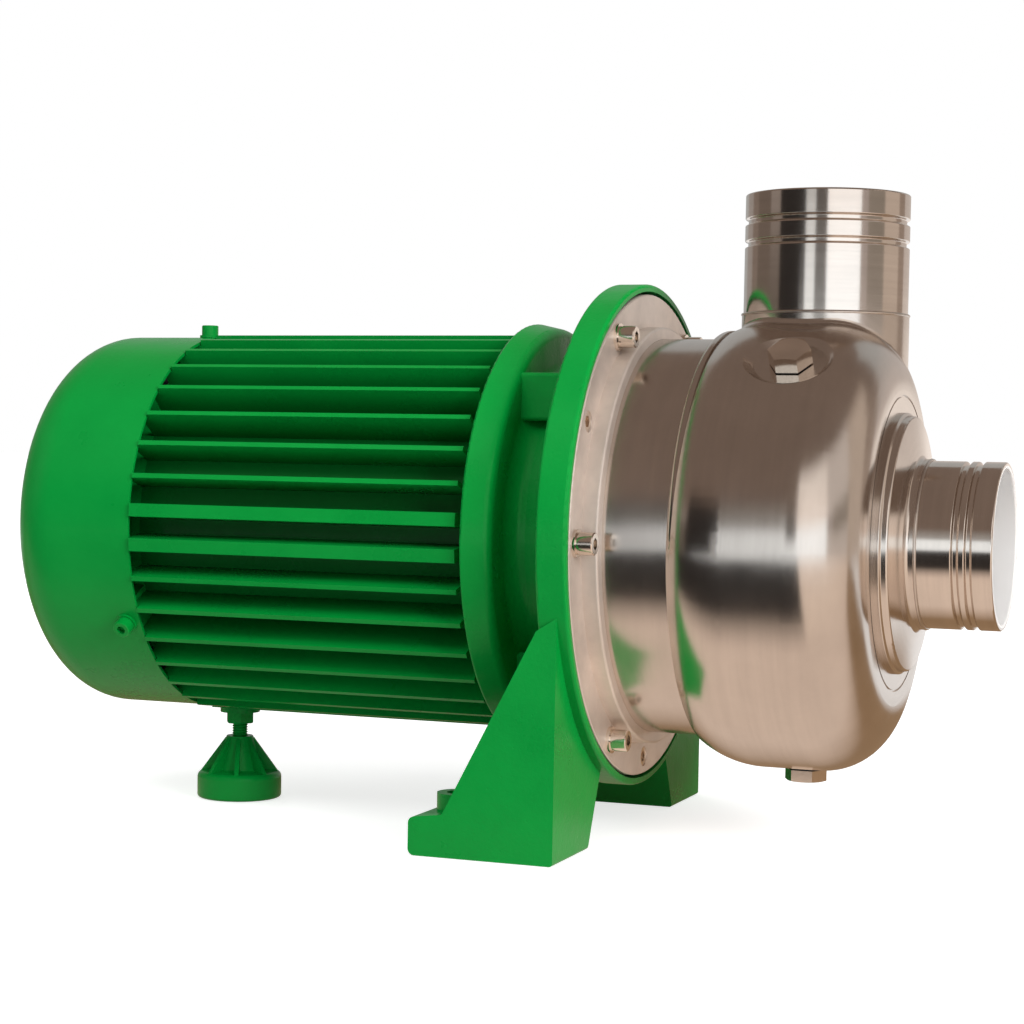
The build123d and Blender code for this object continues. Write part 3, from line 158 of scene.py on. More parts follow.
class PumpThread(bpy.types.PropertyGroup):
    pitch: FloatProperty(
        name="Thread pitch", description="Pitch of the levelling screw",
        subtype="DISTANCE", unit="LENGTH", min=0.0005, max=0.004, default=0.00125)
    depth: FloatProperty(
        name="Thread depth", description="Depth of the levelling screw's thread",
        subtype="DISTANCE", unit="LENGTH", min=0.0001, max=0.002, default=0.0006)


class PumpStudio(bpy.types.PropertyGroup):
    azimuth: FloatProperty(
        name="Camera azimuth", description="Turn of the camera from the side view",
        subtype="ANGLE", default=math.radians(20.65))
    pitch: FloatProperty(
        name="Camera pitch", description="Downward tilt of the camera",
        subtype="ANGLE", default=math.radians(3.2))
    roll: FloatProperty(
        name="Camera roll", description="Roll of the camera",
        subtype="ANGLE", default=math.radians(1.0))
    place: FloatVectorProperty(
        name="Camera place", description="Where the camera stands",
        subtype="TRANSLATION", unit="LENGTH", size=3, default=(0.38018, -1.03221, 0.18419))
    lens: FloatProperty(
        name="Lens", description="Focal length on a 36 mm sensor",
        subtype="DISTANCE_CAMERA", min=10, max=300, default=79.95)
    shift: FloatProperty(
        name="Vertical shift", description="Shift of the camera's frame",
        min=-1, max=1, default=0.0537)
    floor_tone: FloatProperty(
        name="Floor tone", description="Grey of the floor",
        subtype="FACTOR", min=0, max=1, default=0.66)
    fill: FloatProperty(
        name="Fill", description="Brightness of the light from all round",
        min=0, max=2, default=0.30)


# Building blocks of the materials
def feed(tree, socket, value):
    """Links a socket to another one, or sets it to a plain value."""
    if isinstance(value, bpy.types.NodeSocket):
        tree.links.new(value, socket)
    else:
        socket.default_value = value


def add(tree, kind, **values):
    """A new node with its named settings, values and links."""
    node = tree.nodes.new(kind)
    for key, value in values.items():
        label = key.replace("_", " ").title()
        if label in node.inputs:
            feed(tree, node.inputs[label], value)
        else:
            setattr(node, key, value)
    return node


def math_node(tree, operation, first, second):
    """What one operation on two numbers or links gives."""
    node = add(tree, "ShaderNodeMath", operation=operation)
    feed(tree, node.inputs[0], first)
    feed(tree, node.inputs[1], second)
    return node.outputs[0]


def vector_node(tree, operation, first):
    """Node for one operation on a vector."""
    node = add(tree, "ShaderNodeVectorMath", operation=operation)
    tree.links.new(first, node.inputs[0])
    return node


def parts_of(tree, vector):
    """The X, Y and Z of a vector."""
    return add(tree, "ShaderNodeSeparateXYZ", vector=vector).outputs


def across_axle(tree, local):
    """What a vector has across the X axis."""
    flat = vector_node(tree, "MULTIPLY", local)
    flat.inputs[1].default_value = (0, 1, 1)
    return flat.outputs[0]


def axle_distance(tree, local):
    """Distance from the X axis."""
    return vector_node(tree, "LENGTH", across_axle(tree, local)).outputs["Value"]


def shift_to(tree, place, centre, turn=(0, 0, 0)):
    """Coordinates with a given point as their middle."""
    moved = vector_node(tree, "SUBTRACT", place)
    moved.inputs[1].default_value = centre
    return add(tree, "ShaderNodeMapping", rotation=turn, vector=moved.outputs[0]).outputs[0]


def new_group(name, inputs, outputs):
    """Empty node group, with what goes into it and what comes out."""
    group = bpy.data.node_groups.new(name, "ShaderNodeTree")
    for label, kind, value in inputs:
        socket = group.interface.new_socket(name=label, in_out="INPUT", socket_type=kind)
        if value is not None:
            socket.default_value = value
    for label in outputs:
        group.interface.new_socket(name=label, in_out="OUTPUT", socket_type="NodeSocketFloat")
    source = group.nodes.new("NodeGroupInput")
    target = group.nodes.new("NodeGroupOutput")
    return group, source.outputs, target.inputs


def lathe_grain_group():
    """Fine lines that run round the X axis, as a belt or a lathe leaves them."""
    group, source, target = new_group(
        "lathe_grain",
        [("Vector", "NodeSocketVector", None),
         ("Fineness", "NodeSocketFloat", 1500.0),
         ("Run", "NodeSocketFloat", 9.0)],
        ["Lines", "Streaks"])
    # Lines follow X on a round wall and the radius on a flat face
    reach = math_node(group, "ADD", parts_of(group, source["Vector"])["X"],
                      axle_distance(group, source["Vector"]))
    along = math_node(group, "MULTIPLY", reach, source["Fineness"])
    direction = vector_node(group, "NORMALIZE", across_axle(group, source["Vector"]))
    stretched = vector_node(group, "SCALE", direction.outputs[0])
    group.links.new(source["Run"], stretched.inputs["Scale"])
    place = parts_of(group, stretched.outputs[0])
    joined = add(group, "ShaderNodeCombineXYZ", x=along, y=place["Y"], z=place["Z"]).outputs[0]
    fine = add(group, "ShaderNodeTexNoise", vector=joined, scale=1.0, detail=3.0, roughness=0.6)
    group.links.new(fine.outputs["Fac"], target["Lines"])
    coarse = add(group, "ShaderNodeTexNoise", vector=joined, scale=0.12, detail=4.0, roughness=0.65)
    group.links.new(coarse.outputs["Fac"], target["Streaks"])
    return group


def handling_group():
    """Soft cloudy marks left by hands, cloths and oil."""
    group, source, target = new_group(
        "handling_marks",
        [("Vector", "NodeSocketVector", None),
         ("Size", "NodeSocketFloat", 30.0)],
        ["Clouds"])
    clouds = add(group, "ShaderNodeTexNoise", vector=source["Vector"], scale=source["Size"],
                 detail=5.0, roughness=0.6)
    spread = add(group, "ShaderNodeMapRange", value=clouds.outputs["Fac"], from_min=0.35, from_max=0.68)
    group.links.new(spread.outputs[0], target["Clouds"])
    return group


def cast_group():
    """Sand cast surface under paint: fine grain on slow waves, with sunk pits."""
    group, source, target = new_group(
        "cast_skin",
        [("Vector", "NodeSocketVector", None),
         ("Grain", "NodeSocketFloat", 0.0016)],
        ["Height", "Pits"])
    rate = math_node(group, "DIVIDE", 1.0, source["Grain"])
    grain = add(group, "ShaderNodeTexNoise", vector=source["Vector"], scale=rate, detail=3.0, roughness=0.55)
    waves = add(group, "ShaderNodeTexNoise", vector=source["Vector"],
                scale=math_node(group, "MULTIPLY", rate, 0.12), detail=2.0, roughness=0.5)
    fine = math_node(group, "MULTIPLY", grain.outputs["Fac"], 0.35)
    group.links.new(math_node(group, "ADD", fine, waves.outputs["Fac"]), target["Height"])
    pits = add(group, "ShaderNodeTexVoronoi", feature="F1", vector=source["Vector"],
               scale=math_node(group, "MULTIPLY", rate, 0.35))
    sunk = add(group, "ShaderNodeMapRange", value=pits.outputs["Distance"], from_min=0.02, from_max=0.14)
    group.links.new(sunk.outputs[0], target["Pits"])
    return group


EFFECTS = {
    "lathe_grain": lathe_grain_group,
    "handling_marks": handling_group,
    "cast_skin": cast_group,
}


def effect(tree, name, vector, **values):
    """One of the shared effects, built when the first material asks for it."""
    node = tree.nodes.new("ShaderNodeGroup")
    node.node_tree = bpy.data.node_groups.get(name) or EFFECTS[name]()
    tree.links.new(vector, node.inputs["Vector"])
    for key, value in values.items():
        node.inputs[key.title()].default_value = value
    return node.outputs


def clouds_of(tree, place, size):
    """Cloudy mask of the handling marks."""
    return effect(tree, "handling_marks", place, size=size)["Clouds"]


def start_material(name, metallic, roughness, colour, **extra):
    """Material with a shader and the object's own coordinates."""
    material = bpy.data.materials.new(name)
    material.use_nodes = True
    tree = material.node_tree
    shader = tree.nodes["Principled BSDF"]
    shader.inputs["Base Color"].default_value = (*colour, 1)
    shader.inputs["Metallic"].default_value = metallic
    shader.inputs["Roughness"].default_value = roughness
    for key, value in extra.items():
        shader.inputs[key.replace("_", " ").title().replace("Ior", "IOR")].default_value = value
    place = tree.nodes.new("ShaderNodeTexCoord").outputs["Object"]
    return material, tree, shader, place


def linked_to(shader, name):
    """What feeds one of the shader's sockets so far."""
    return shader.inputs[name].links[0].from_socket


def shade(colour, factor):
    """A colour made darker or lighter."""
    return tuple(min(1.0, channel * factor) for channel in colour)


def opaque(colour):
    """A plain colour with its alpha, or a linked one as it is."""
    return colour if isinstance(colour, bpy.types.NodeSocket) else (*colour, 1)


def mixed_colour(tree, shader, mask, low, high):
    """Base colour that goes from low to high with a mask."""
    mix = add(tree, "ShaderNodeMix", data_type="RGBA", factor=mask, a=opaque(low), b=opaque(high))
    tree.links.new(mix.outputs["Result"], shader.inputs["Base Color"])


def ranged(tree, mask, low, high, socket):
    """Feeds a socket with a mask stretched between two values."""
    spread = add(tree, "ShaderNodeMapRange", value=mask, to_min=low, to_max=high)
    tree.links.new(spread.outputs[0], socket)


def blended(tree, first, share, second):
    """Two masks in one, with the first one's share given."""
    return math_node(tree, "ADD", math_node(tree, "MULTIPLY", first, share),
                     math_node(tree, "MULTIPLY", second, 1.0 - share))


def bumped(tree, shader, height, distance):
    """Fine relief of a given depth in metres."""
    bump = add(tree, "ShaderNodeBump", distance=distance, strength=1.0, height=height)
    tree.links.new(bump.outputs[0], shader.inputs["Normal"])


def paint_material(name, paint, cast):
    """Gloss paint, with the casting's grain showing through where it covers one."""
    material, tree, shader, place = start_material(
        name, 0.0, paint.roughness, paint.colour,
        coat_weight=0.05, coat_roughness=0.08, specular_ior_level=0.14)
    clouds = clouds_of(tree, place, 22.0)
    mixed_colour(tree, shader, clouds, shade(paint.colour, 0.94), shade(paint.colour, 1.05))
    ranged(tree, clouds, paint.roughness - 0.05, paint.roughness + 0.07, shader.inputs["Roughness"])
    if cast:
        skin = effect(tree, "cast_skin", place, grain=paint.grain)
        pits = math_node(tree, "MULTIPLY", skin["Pits"], 0.25)
        bumped(tree, shader, math_node(tree, "ADD", skin["Height"], pits), distance=0.00028)
    else:
        peel = add(tree, "ShaderNodeTexNoise", vector=place, scale=420.0, detail=2.0, roughness=0.45)
        bumped(tree, shader, peel.outputs["Fac"], distance=0.00006)
    return material


def fin_shade_paint_material(name, paint):
    """Gloss paint with painted shade: darker down between the fins, where shade falls."""
    material = paint_material(name, paint, False)
    tree = material.node_tree
    shader = tree.nodes["Principled BSDF"]
    place = tree.nodes["Texture Coordinate"].outputs["Object"]
    # Painted shade: the paint falls to half its colour towards the fin roots
    radius = axle_distance(tree, shift_to(tree, place, SHAFT))
    height = add(tree, "ShaderNodeMapRange", value=radius,
                 from_min=FIN_RADIUS * 0.80, from_max=FIN_RADIUS * 0.96)
    mixed_colour(tree, shader, height.outputs[0], shade(paint.colour, 0.5), linked_to(shader, "Base Color"))
    return material


def turned_material(name, colour, roughness, centre, fineness, run, depth, turn=(0, 0, 0), bore=0.0):
    """Metal with fine lines round one axis, and inside the bore a paler, duller wall that is a painted
    reflection.
    """
    material, tree, shader, place = start_material(name, 1.0, roughness, colour)
    local = shift_to(tree, place, centre, turn)
    grain = effect(tree, "lathe_grain", local, fineness=fineness, run=run)
    clouds = clouds_of(tree, place, 26.0)
    tone = blended(tree, grain["Streaks"], 0.7, clouds)
    mixed_colour(tree, shader, tone, shade(colour, 0.84), shade(colour, 1.14))
    wear = blended(tree, grain["Lines"], 0.6, clouds)
    ranged(tree, wear, roughness * 0.72, roughness * 1.35, shader.inputs["Roughness"])
    bumped(tree, shader, grain["Lines"], depth)
    if bore:
        inside_bore(tree, shader, local, bore)
    return material


def inside_bore(tree, shader, local, bore):
    """Turns the wall inside a bore round the X axis pale and matt, a painted reflection of the white light
    seen down the bore.
    """
    inside = math_node(tree, "LESS_THAN", axle_distance(tree, local), bore)
    # Painted reflection: pale colour in place of the white seen down the bore
    mixed_colour(tree, shader, inside, linked_to(shader, "Base Color"), BORE_REFLECTION_COLOUR)
    ranged(tree, inside, 1.0, INSIDE_METAL, shader.inputs["Metallic"])
    matt = math_node(tree, "MULTIPLY", inside, INSIDE_MATT)
    worn = math_node(tree, "ADD", linked_to(shader, "Roughness"), matt)
    tree.links.new(worn, shader.inputs["Roughness"])


def blasted_material(name, colour, roughness, scale=1800.0, depth=0.00005, metallic=1.0):
    """Metal with an even bead blasted or as-cast skin."""
    material, tree, shader, place = start_material(name, metallic, roughness, colour)
    skin = add(tree, "ShaderNodeTexNoise", vector=place, scale=scale, detail=3.0, roughness=0.6)
    mixed_colour(tree, shader, clouds_of(tree, place, 34.0), shade(colour, 0.88), shade(colour, 1.08))
    ranged(tree, skin.outputs["Fac"], roughness * 0.8, roughness * 1.2, shader.inputs["Roughness"])
    bumped(tree, shader, skin.outputs["Fac"], depth)
    return material


def dull_material(name, colour, roughness, depth=0.00004):
    """Rubber, ceramic or moulded plastic."""
    material, tree, shader, place = start_material(name, 0.0, roughness, colour)
    skin = add(tree, "ShaderNodeTexNoise", vector=place, scale=900.0, detail=2.0, roughness=0.5)
    clouds = clouds_of(tree, place, 60.0)
    mixed_colour(tree, shader, clouds, shade(colour, 0.8), shade(colour, 1.3))
    ranged(tree, clouds, roughness * 0.85, roughness * 1.1, shader.inputs["Roughness"])
    bumped(tree, shader, skin.outputs["Fac"], depth)
    return material


def layered_material(name, colour, roughness, pitch):
    """Stack of thin sheets across the shaft."""
    material, tree, shader, place = start_material(name, 0.85, roughness, colour)
    along = parts_of(tree, shift_to(tree, place, SHAFT))["X"]
    sheet = math_node(tree, "DIVIDE", math_node(tree, "PINGPONG", along, pitch), pitch)
    mixed_colour(tree, shader, sheet, shade(colour, 0.55), shade(colour, 1.15))
    clouds = clouds_of(tree, place, 50.0)
    ranged(tree, clouds, roughness * 0.8, roughness * 1.2, shader.inputs["Roughness"])
    bumped(tree, shader, sheet, distance=0.00015)
    return material


def wound_material(name, colour):
    """Varnished copper wire laid round the shaft."""
    material, tree, shader, place = start_material(name, 0.9, 0.35, colour, coat_weight=0.5)
    grain = effect(tree, "lathe_grain", shift_to(tree, place, SHAFT), fineness=700.0, run=14.0)
    mixed_colour(tree, shader, grain["Lines"], shade(colour, 0.45), shade(colour, 1.2))
    ranged(tree, clouds_of(tree, place, 40.0), 0.28, 0.5, shader.inputs["Roughness"])
    bumped(tree, shader, grain["Lines"], distance=0.0006)
    return material


def dress(material, *names):
    """Gives a material to nodes of the frame."""
    for name in names:
        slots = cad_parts[name].data.materials
        slots.clear()
        slots.append(material)


# Modelling helpers
def clear_selection():
    """Object mode with nothing selected."""
    if bpy.context.mode != "OBJECT":
        bpy.ops.object.mode_set(mode="OBJECT")
    bpy.ops.object.select_all(action="DESELECT")


def settle(piece, name, material, body):
    """Names a finished piece, applies its place and hands it to the frame."""
    clear_selection()
    piece.name = name
    piece.data.name = name
    piece.select_set(True)
    bpy.context.view_layer.objects.active = piece
    bpy.ops.object.transform_apply(location=True, rotation=True, scale=True)
    piece.data.materials.clear()
    piece.data.materials.append(material)
    bpy.ops.object.shade_smooth_by_angle(angle=SMOOTH_ANGLE)
    piece.select_set(False)
    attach(piece, body)
    return piece


def edit_mesh(piece, work):
    """Runs one piece of work in edit mode, with nothing selected at its start."""
    clear_selection()
    piece.select_set(True)
    bpy.context.view_layer.objects.active = piece
    bpy.ops.object.mode_set(mode="EDIT")
    bpy.ops.mesh.select_mode(type="VERT")
    bpy.ops.mesh.select_all(action="DESELECT")
    work(piece)
    bpy.ops.object.mode_set(mode="OBJECT")


def weld_bead(name, centre, turn, steel, material):
    """Rippled bead round the foot of a stub."""
    radius = STUB_RADIUS + steel.seam * 0.2
    clear_selection()
    bpy.ops.mesh.primitive_torus_add(
        major_segments=steel.ripples * RIPPLE_STEPS, minor_segments=BEAD_SIDES,
        major_radius=radius, minor_radius=steel.seam, location=centre, rotation=turn)
    piece = bpy.context.active_object

    def crest(co):
        wave = (math.atan2(co.y, co.x) * steel.ripples / (2 * math.pi)) % 1.0
        return wave < RIPPLE_CREST and math.hypot(co.x, co.y) > radius

    def ripple(target):
        shape = bmesh.from_edit_mesh(target.data)
        for vertex in shape.verts:
            vertex.select_set(crest(vertex.co))
        shape.select_flush(True)
        bmesh.update_edit_mesh(target.data)
        bpy.ops.transform.resize(value=(RIPPLE_RISE, RIPPLE_RISE, 1.0), center_override=tuple(centre))

    edit_mesh(piece, ripple)
    return settle(piece, name, material, "pump")


def stud_core(centre, root, height, chamfer):
    """Plain cylinder with its two end edges broken."""
    clear_selection()
    bpy.ops.mesh.primitive_cylinder_add(vertices=CORE_SIDES, radius=root, depth=height, location=centre)
    core = bpy.context.active_object

    def break_ends(target):
        bpy.ops.mesh.select_mode(type="FACE")
        shape = bmesh.from_edit_mesh(target.data)
        for face in shape.faces:
            face.select_set(abs(face.normal.z) > 0.9)
        bmesh.update_edit_mesh(target.data)
        bpy.ops.mesh.bevel(offset=chamfer, segments=2)

    edit_mesh(core, break_ends)
    return core


def thread_ridge(centre, root, low, high, thread):
    """Ridge of the thread, wound round the core one turn short of each end."""
    clear_selection()
    bpy.ops.mesh.primitive_circle_add(
        vertices=4, radius=thread.depth, fill_type="NOTHING", rotation=(math.radians(90), 0, 0),
        location=(centre.x + root, centre.y, low + thread.pitch))
    ridge = bpy.context.active_object
    bpy.ops.object.transform_apply(location=False, rotation=True, scale=False)
    bpy.ops.transform.resize(value=(RIDGE_DEPTH, 1.0, RIDGE_WIDTH * thread.pitch / thread.depth))
    bpy.context.scene.cursor.location = (centre.x, centre.y, low)
    bpy.ops.object.origin_set(type="ORIGIN_CURSOR")
    bpy.ops.object.transform_apply(location=False, rotation=False, scale=True)
    bpy.ops.object.modifier_add(type="SCREW")
    winding = ridge.modifiers[-1]
    winding.screw_offset = thread.pitch
    winding.iterations = int((high - low) / thread.pitch) - 1
    winding.steps = TURN_STEPS
    winding.render_steps = TURN_STEPS
    bpy.ops.object.modifier_apply(modifier=winding.name)

    def close(target):
        bpy.ops.mesh.select_all(action="SELECT")
        bpy.ops.mesh.fill_holes(sides=4)
        bpy.ops.mesh.normals_make_consistent(inside=False)

    edit_mesh(ridge, close)
    return ridge


def threaded_stud(box, thread):
    """Stud with a cut thread that fills the box of a plain one."""
    centre = middle(box)
    low, high = box[0][2], box[1][2]
    root = (box[1][0] - box[0][0]) / 2 - thread.depth
    core = stud_core(centre, root, high - low, thread.depth)
    ridge = thread_ridge(centre, root, low, high, thread)
    clear_selection()
    ridge.select_set(True)
    core.select_set(True)
    bpy.context.view_layer.objects.active = core
    bpy.ops.object.join()
    return core


# One operator for each group of pieces, and one for the stage
class PUMP_OT_paint(bpy.types.Operator):
    """Paints the castings, the motor and its fasteners"""

    bl_idname = "pump.paint"
    bl_label = "Paint"

    def execute(self, context):
        paint = context.scene.pump_paint
        dress(paint_material("green_paint_cast", paint, True), "bracket", "foot_base")
        dress(paint_material("green_paint_smooth", paint, False),
              "rear_shield", "fan_cowl", "terminal_box", "terminal_lid", "cowl_screws", "cowl_washers",
              "foot_screw", "foot_lock_nut")
        dress(fin_shade_paint_material("green_paint_fins_shaded", paint), "motor_frame")
        return {"FINISHED"}


class PUMP_OT_steel(bpy.types.Operator):
    """Gives the casing its brushed, turned and blasted steel"""

    bl_idname = "pump.steel"
    bl_label = "Casing steel"

    def execute(self, context):
        steel = context.scene.pump_steel
        sheet = turned_material("brushed_sheet", steel.colour, steel.roughness, SHAFT,
                                fineness=1300.0, run=7.0, depth=0.000003)
        dress(sheet, "casing_shell", "casing_barrel", "seal_cover")
        stubs = (
            ("turned_stub", "suction_stub", SHAFT, (0, 0, 0)),
            ("turned_stub_upright", "discharge_stub", UPRIGHT, (0, math.radians(90), 0)),
        )
        for name, stub, centre, turn in stubs:
            dress(turned_material(name, shade(steel.colour, 1.1), steel.polish, centre,
                                  fineness=2600.0, run=3.0, depth=0.000003,
                                  turn=turn, bore=STUB_RADIUS - STUB_WALL), stub)
        ring = turned_material("turned_ring", shade(steel.colour, 1.08), steel.roughness * 0.85, SHAFT,
                               fineness=2200.0, run=2.0, depth=0.000004)
        dress(ring, "suction_ring", "wear_plate")
        dress(blasted_material("blasted_plate", BLASTED, 0.5, metallic=0.8), "casing_plate")
        return {"FINISHED"}


class PUMP_OT_fittings(bpy.types.Operator):
    """Finishes the plugs, screws and washers of the casing"""

    bl_idname = "pump.fittings"
    bl_label = "Plugs and screws"

    def execute(self, context):
        bright = blasted_material("machined_steel", MACHINED, 0.17, scale=700.0, depth=0.00001)
        dress(bright, "filler_plug", "filler_boss", "drain_plug",
              "joint_screws", "joint_washers", "joint_spring_washers", "jack_screws", "terminal_screws",
              "impeller_key", "impeller_washer", "impeller_nut")
        zinc = blasted_material("zinc_plate", ZINC, 0.33, scale=900.0, depth=0.00002)
        dress(zinc, "tie_rods", "seal_collar", "seal_spring", "wave_washer")
        return {"FINISHED"}


class PUMP_OT_inner(bpy.types.Operator):
    """Finishes the impeller, the seal, the bearings and the motor's inside"""

    bl_idname = "pump.inner"
    bl_label = "Inner pieces"

    def execute(self, context):
        dress(blasted_material("investment_cast", CAST_STEEL, 0.36, scale=500.0, depth=0.00009), "impeller")
        dress(turned_material("ground_shaft", GROUND_STEEL, 0.2, SHAFT,
                              fineness=3000.0, run=2.0, depth=0.000004), "motor_shaft")
        dress(turned_material("bearing_steel", BEARING_STEEL, 0.1, SHAFT,
                              fineness=3000.0, run=2.0, depth=0.000003),
              "front_outer_race", "front_inner_race", "front_balls",
              "rear_outer_race", "rear_inner_race", "rear_balls")
        dress(layered_material("sheet_stack", CORE_SHEET, 0.5, 0.00025), "stator_core", "rotor_core")
        dress(wound_material("wound_copper", COPPER), "stator_windings")
        dress(dull_material("black_rubber", RUBBER, 0.62),
              "casing_o_ring", "seal_seat_cup", "seal_bellows", "slinger", "gland_seal",
              "terminal_gasket", "filler_gasket", "drain_gasket")
        dress(dull_material("lapped_carbon", CARBON, 0.3), "seal_face_ring")
        dress(dull_material("glazed_ceramic", CERAMIC, 0.12, depth=0.00001), "seal_seat_ring")
        dress(dull_material("moulded_plastic", PLASTIC, 0.45),
              "fan", "terminal_board", "gland_body", "gland_nut")
        dress(blasted_material("stud_brass", BRASS, 0.25, scale=800.0, depth=0.00001), "terminal_studs")
        return {"FINISHED"}


class PUMP_OT_welds(bpy.types.Operator):
    """Lays the weld beads of the casing"""

    bl_idname = "pump.welds"
    bl_label = "Weld beads"

    def execute(self, context):
        steel = context.scene.pump_steel
        bead = blasted_material("weld_bead", steel.colour, 0.3, scale=900.0, depth=0.00003)
        collar = Vector((UPRIGHT.x, UPRIGHT.y, DISCHARGE[0][2]))
        weld_bead("discharge_weld", collar, (0, 0, 0), steel, bead)
        mouth = Vector((SUCTION[0][0], SHAFT.y, SHAFT.z))
        weld_bead("suction_weld", mouth, (0, math.radians(90), 0), steel, bead)
        return {"FINISHED"}


class PUMP_OT_stud(bpy.types.Operator):
    """Cuts the thread of the levelling screw"""

    bl_idname = "pump.stud"
    bl_label = "Levelling screw"

    def execute(self, context):
        stud = threaded_stud(SCREW, context.scene.pump_thread)
        paint = bpy.data.materials["green_paint_smooth"]
        settle(stud, "levelling_stud", paint, "levelling_screw")
        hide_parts("foot_screw")
        return {"FINISHED"}


# Camera: width of the sensor in millimetres, and how far it sees in metres
SENSOR_WIDTH = 36.0
VIEW_DEPTH = 60.0

# Glow of the studio's walls and table, which only shows in reflections
TONES = {
    "black": (0.03, 0.026, 0.024),
    "soot": (0.10, 0.095, 0.09),
    "dim": (0.16, 0.13, 0.11),
    "brown": (0.21, 0.155, 0.125),
    "umber": (0.26, 0.21, 0.18),
    "drab": (0.27, 0.23, 0.19),
    "shaded": (0.33, 0.21, 0.12),
    "earth": (0.33, 0.28, 0.25),
    "clay": (0.35, 0.30, 0.27),
    "ash": (0.38, 0.35, 0.33),
    "loam": (0.42, 0.33, 0.27),
    "taupe": (0.42, 0.36, 0.33),
    "slate": (0.45, 0.44, 0.42),
    "grey": (0.45, 0.45, 0.44),
    "cloud": (0.46, 0.47, 0.48),
    "sand": (0.59, 0.49, 0.41),
    "stone": (0.62, 0.54, 0.49),
    "soft": (0.70, 0.63, 0.58),
    "warm": (0.82, 0.66, 0.55),
    "apricot": (0.92, 0.75, 0.62),
    "pale": (0.95, 0.93, 0.92),
    "linen": (1.0, 0.90, 0.82),
    "shell": (1.05, 0.95, 0.88),
    "cotton": (1.05, 0.97, 0.9),
    "ivory": (1.1, 0.98, 0.9),
    "cream": (1.15, 1.03, 0.95),
    "window": (1.15, 1.22, 1.26),
    "white": (1.42, 1.5, 1.56),
}

# Radius and height of the round wall, in metres
ROOM_RADIUS = 2.4
ROOM_HEIGHT = 2.4

# Each wall starts at an azimuth in degrees and names its tones by height
WALLS = (
    (-165, ((0.0, "grey"), (1.6, "grey"))),
    (-136, ((0.0, "ash"), (1.6, "earth"))),
    (-115, ((0.0, "umber"), (1.6, "brown"))),
    (-100, ((0.0, "dim"), (1.6, "brown"))),
    (-72, ((0.0, "dim"), (0.46, "dim"), (0.56, "clay"), (0.9, "brown"))),
    (-54, ((0.0, "black"), (0.85, "black"), (1.25, "brown"))),
    (-22, ((0.0, "dim"), (0.12, "cloud"), (0.34, "cloud"), (0.42, "black"), (0.85, "black"),
           (1.25, "brown"))),
    (-15, ((0.0, "window"), (0.46, "window"), (0.58, "slate"), (1.2, "brown"))),
    (0, ((0.0, "window"), (0.28, "window"), (0.37, "soot"), (1.3, "brown"))),
    (17, ((0.0, "white"), (0.48, "white"), (0.62, "cream"), (1.6, "cotton"), (2.2, "brown"))),
    (62, ((0.0, "soft"), (0.3, "soft"), (0.42, "taupe"), (0.58, "taupe"), (0.75, "soft"), (1.7, "soft"),
          (2.2, "brown"))),
    (72, ((0.0, "soft"), (0.3, "soft"), (0.40, "drab"), (0.58, "drab"), (0.8, "soft"), (1.7, "soft"),
          (2.2, "brown"))),
    (99, ((0.0, "sand"), (1.6, "sand"), (2.2, "brown"))),
    (129, ((0.0, "loam"), (1.4, "brown"))),
    (143, ((0.0, "shell"), (0.28, "linen"), (0.42, "stone"), (1.4, "grey"))),
)

# Tones across the ceiling, the table and its front corner, from the camera's side to the back
CEILING = ((0.0, "brown"), (1.0, "brown"))
# The shaded band on the table is painted shadow: the shade under the pump, as the metal reflects it
TABLE = (
    (-1.8, "window"), (-1.15, "black"), (-0.28, "black"), (-0.17, "warm"), (-0.03, "warm"),
    (0.04, "shaded"), (0.40, "shaded"), (0.55, "pale"))
CORNER = ((-1.1, "white"), (-0.2, "ivory"), (0.9, "apricot"), (1.1, "warm"))
CORNER_SIZE = 2.2
CORNER_TURN = math.radians(15)

# Width of the floor, and heights of its layers over the pump's lowest point, in metres
FLOOR_SIZE = 30.0
FLOOR_LIFT = -0.0003
TABLE_LIFT = 0.0004
CORNER_LIFT = 0.0008
CORNER_PLACE = (1.5475, -0.8777, FLOOR_HEIGHT + CORNER_LIFT)

# Lamps: place, size of the panel and power in watts
LAMP_AIM = Vector((0.0, 0.0, 0.15))
LAMPS = {
    "key_lamp": ((1.7, -0.9, 0.9), (1.0, 1.0), 38.0),
    "front_lamp": ((-0.2, -1.4, 1.7), (1.4, 1.0), 15.0),
    "left_lamp": ((-1.8, -0.8, 1.0), (1.0, 1.0), 6.0),
    "top_lamp": ((0.0, 0.1, 1.9), (1.6, 1.0), 5.0),
    "rear_lamp": ((-1.2, 1.6, 1.0), (1.0, 0.8), 7.0),
}


def seen_directly(tree):
    """One where the camera, a mirror or glass looks, and nought for the light that is shed."""
    path = tree.nodes.new("ShaderNodeLightPath").outputs
    seen = math_node(tree, "MAXIMUM", path["Is Camera Ray"], path["Is Glossy Ray"])
    return math_node(tree, "MAXIMUM", seen, path["Is Transmission Ray"])


def card_material(name, tones, axis):
    """Glow that runs through the tones along one axis."""
    material, tree, shader, place = start_material(name, 0.0, 0.5, (0, 0, 0), specular_ior_level=0.0)
    first, last = tones[0][0], tones[-1][0]
    spread = add(tree, "ShaderNodeMapRange", value=parts_of(tree, place)[axis], from_min=first, from_max=last)
    blend = tree.nodes.new("ShaderNodeValToRGB")
    tree.links.new(spread.outputs[0], blend.inputs[0])
    peak = max(max(TONES[tone]) for place, tone in tones)
    stops = blend.color_ramp.elements
    for number, (place, tone) in enumerate(tones):
        at = (place - first) / (last - first)
        # A new ramp has two stops of its own
        stop = stops[number] if number < 2 else stops.new(at)
        stop.position = at
        stop.color = (*[channel / peak for channel in TONES[tone]], 1)
    shader.inputs["Emission Strength"].default_value = peak
    tree.links.new(blend.outputs["Color"], shader.inputs["Emission Color"])
    return material


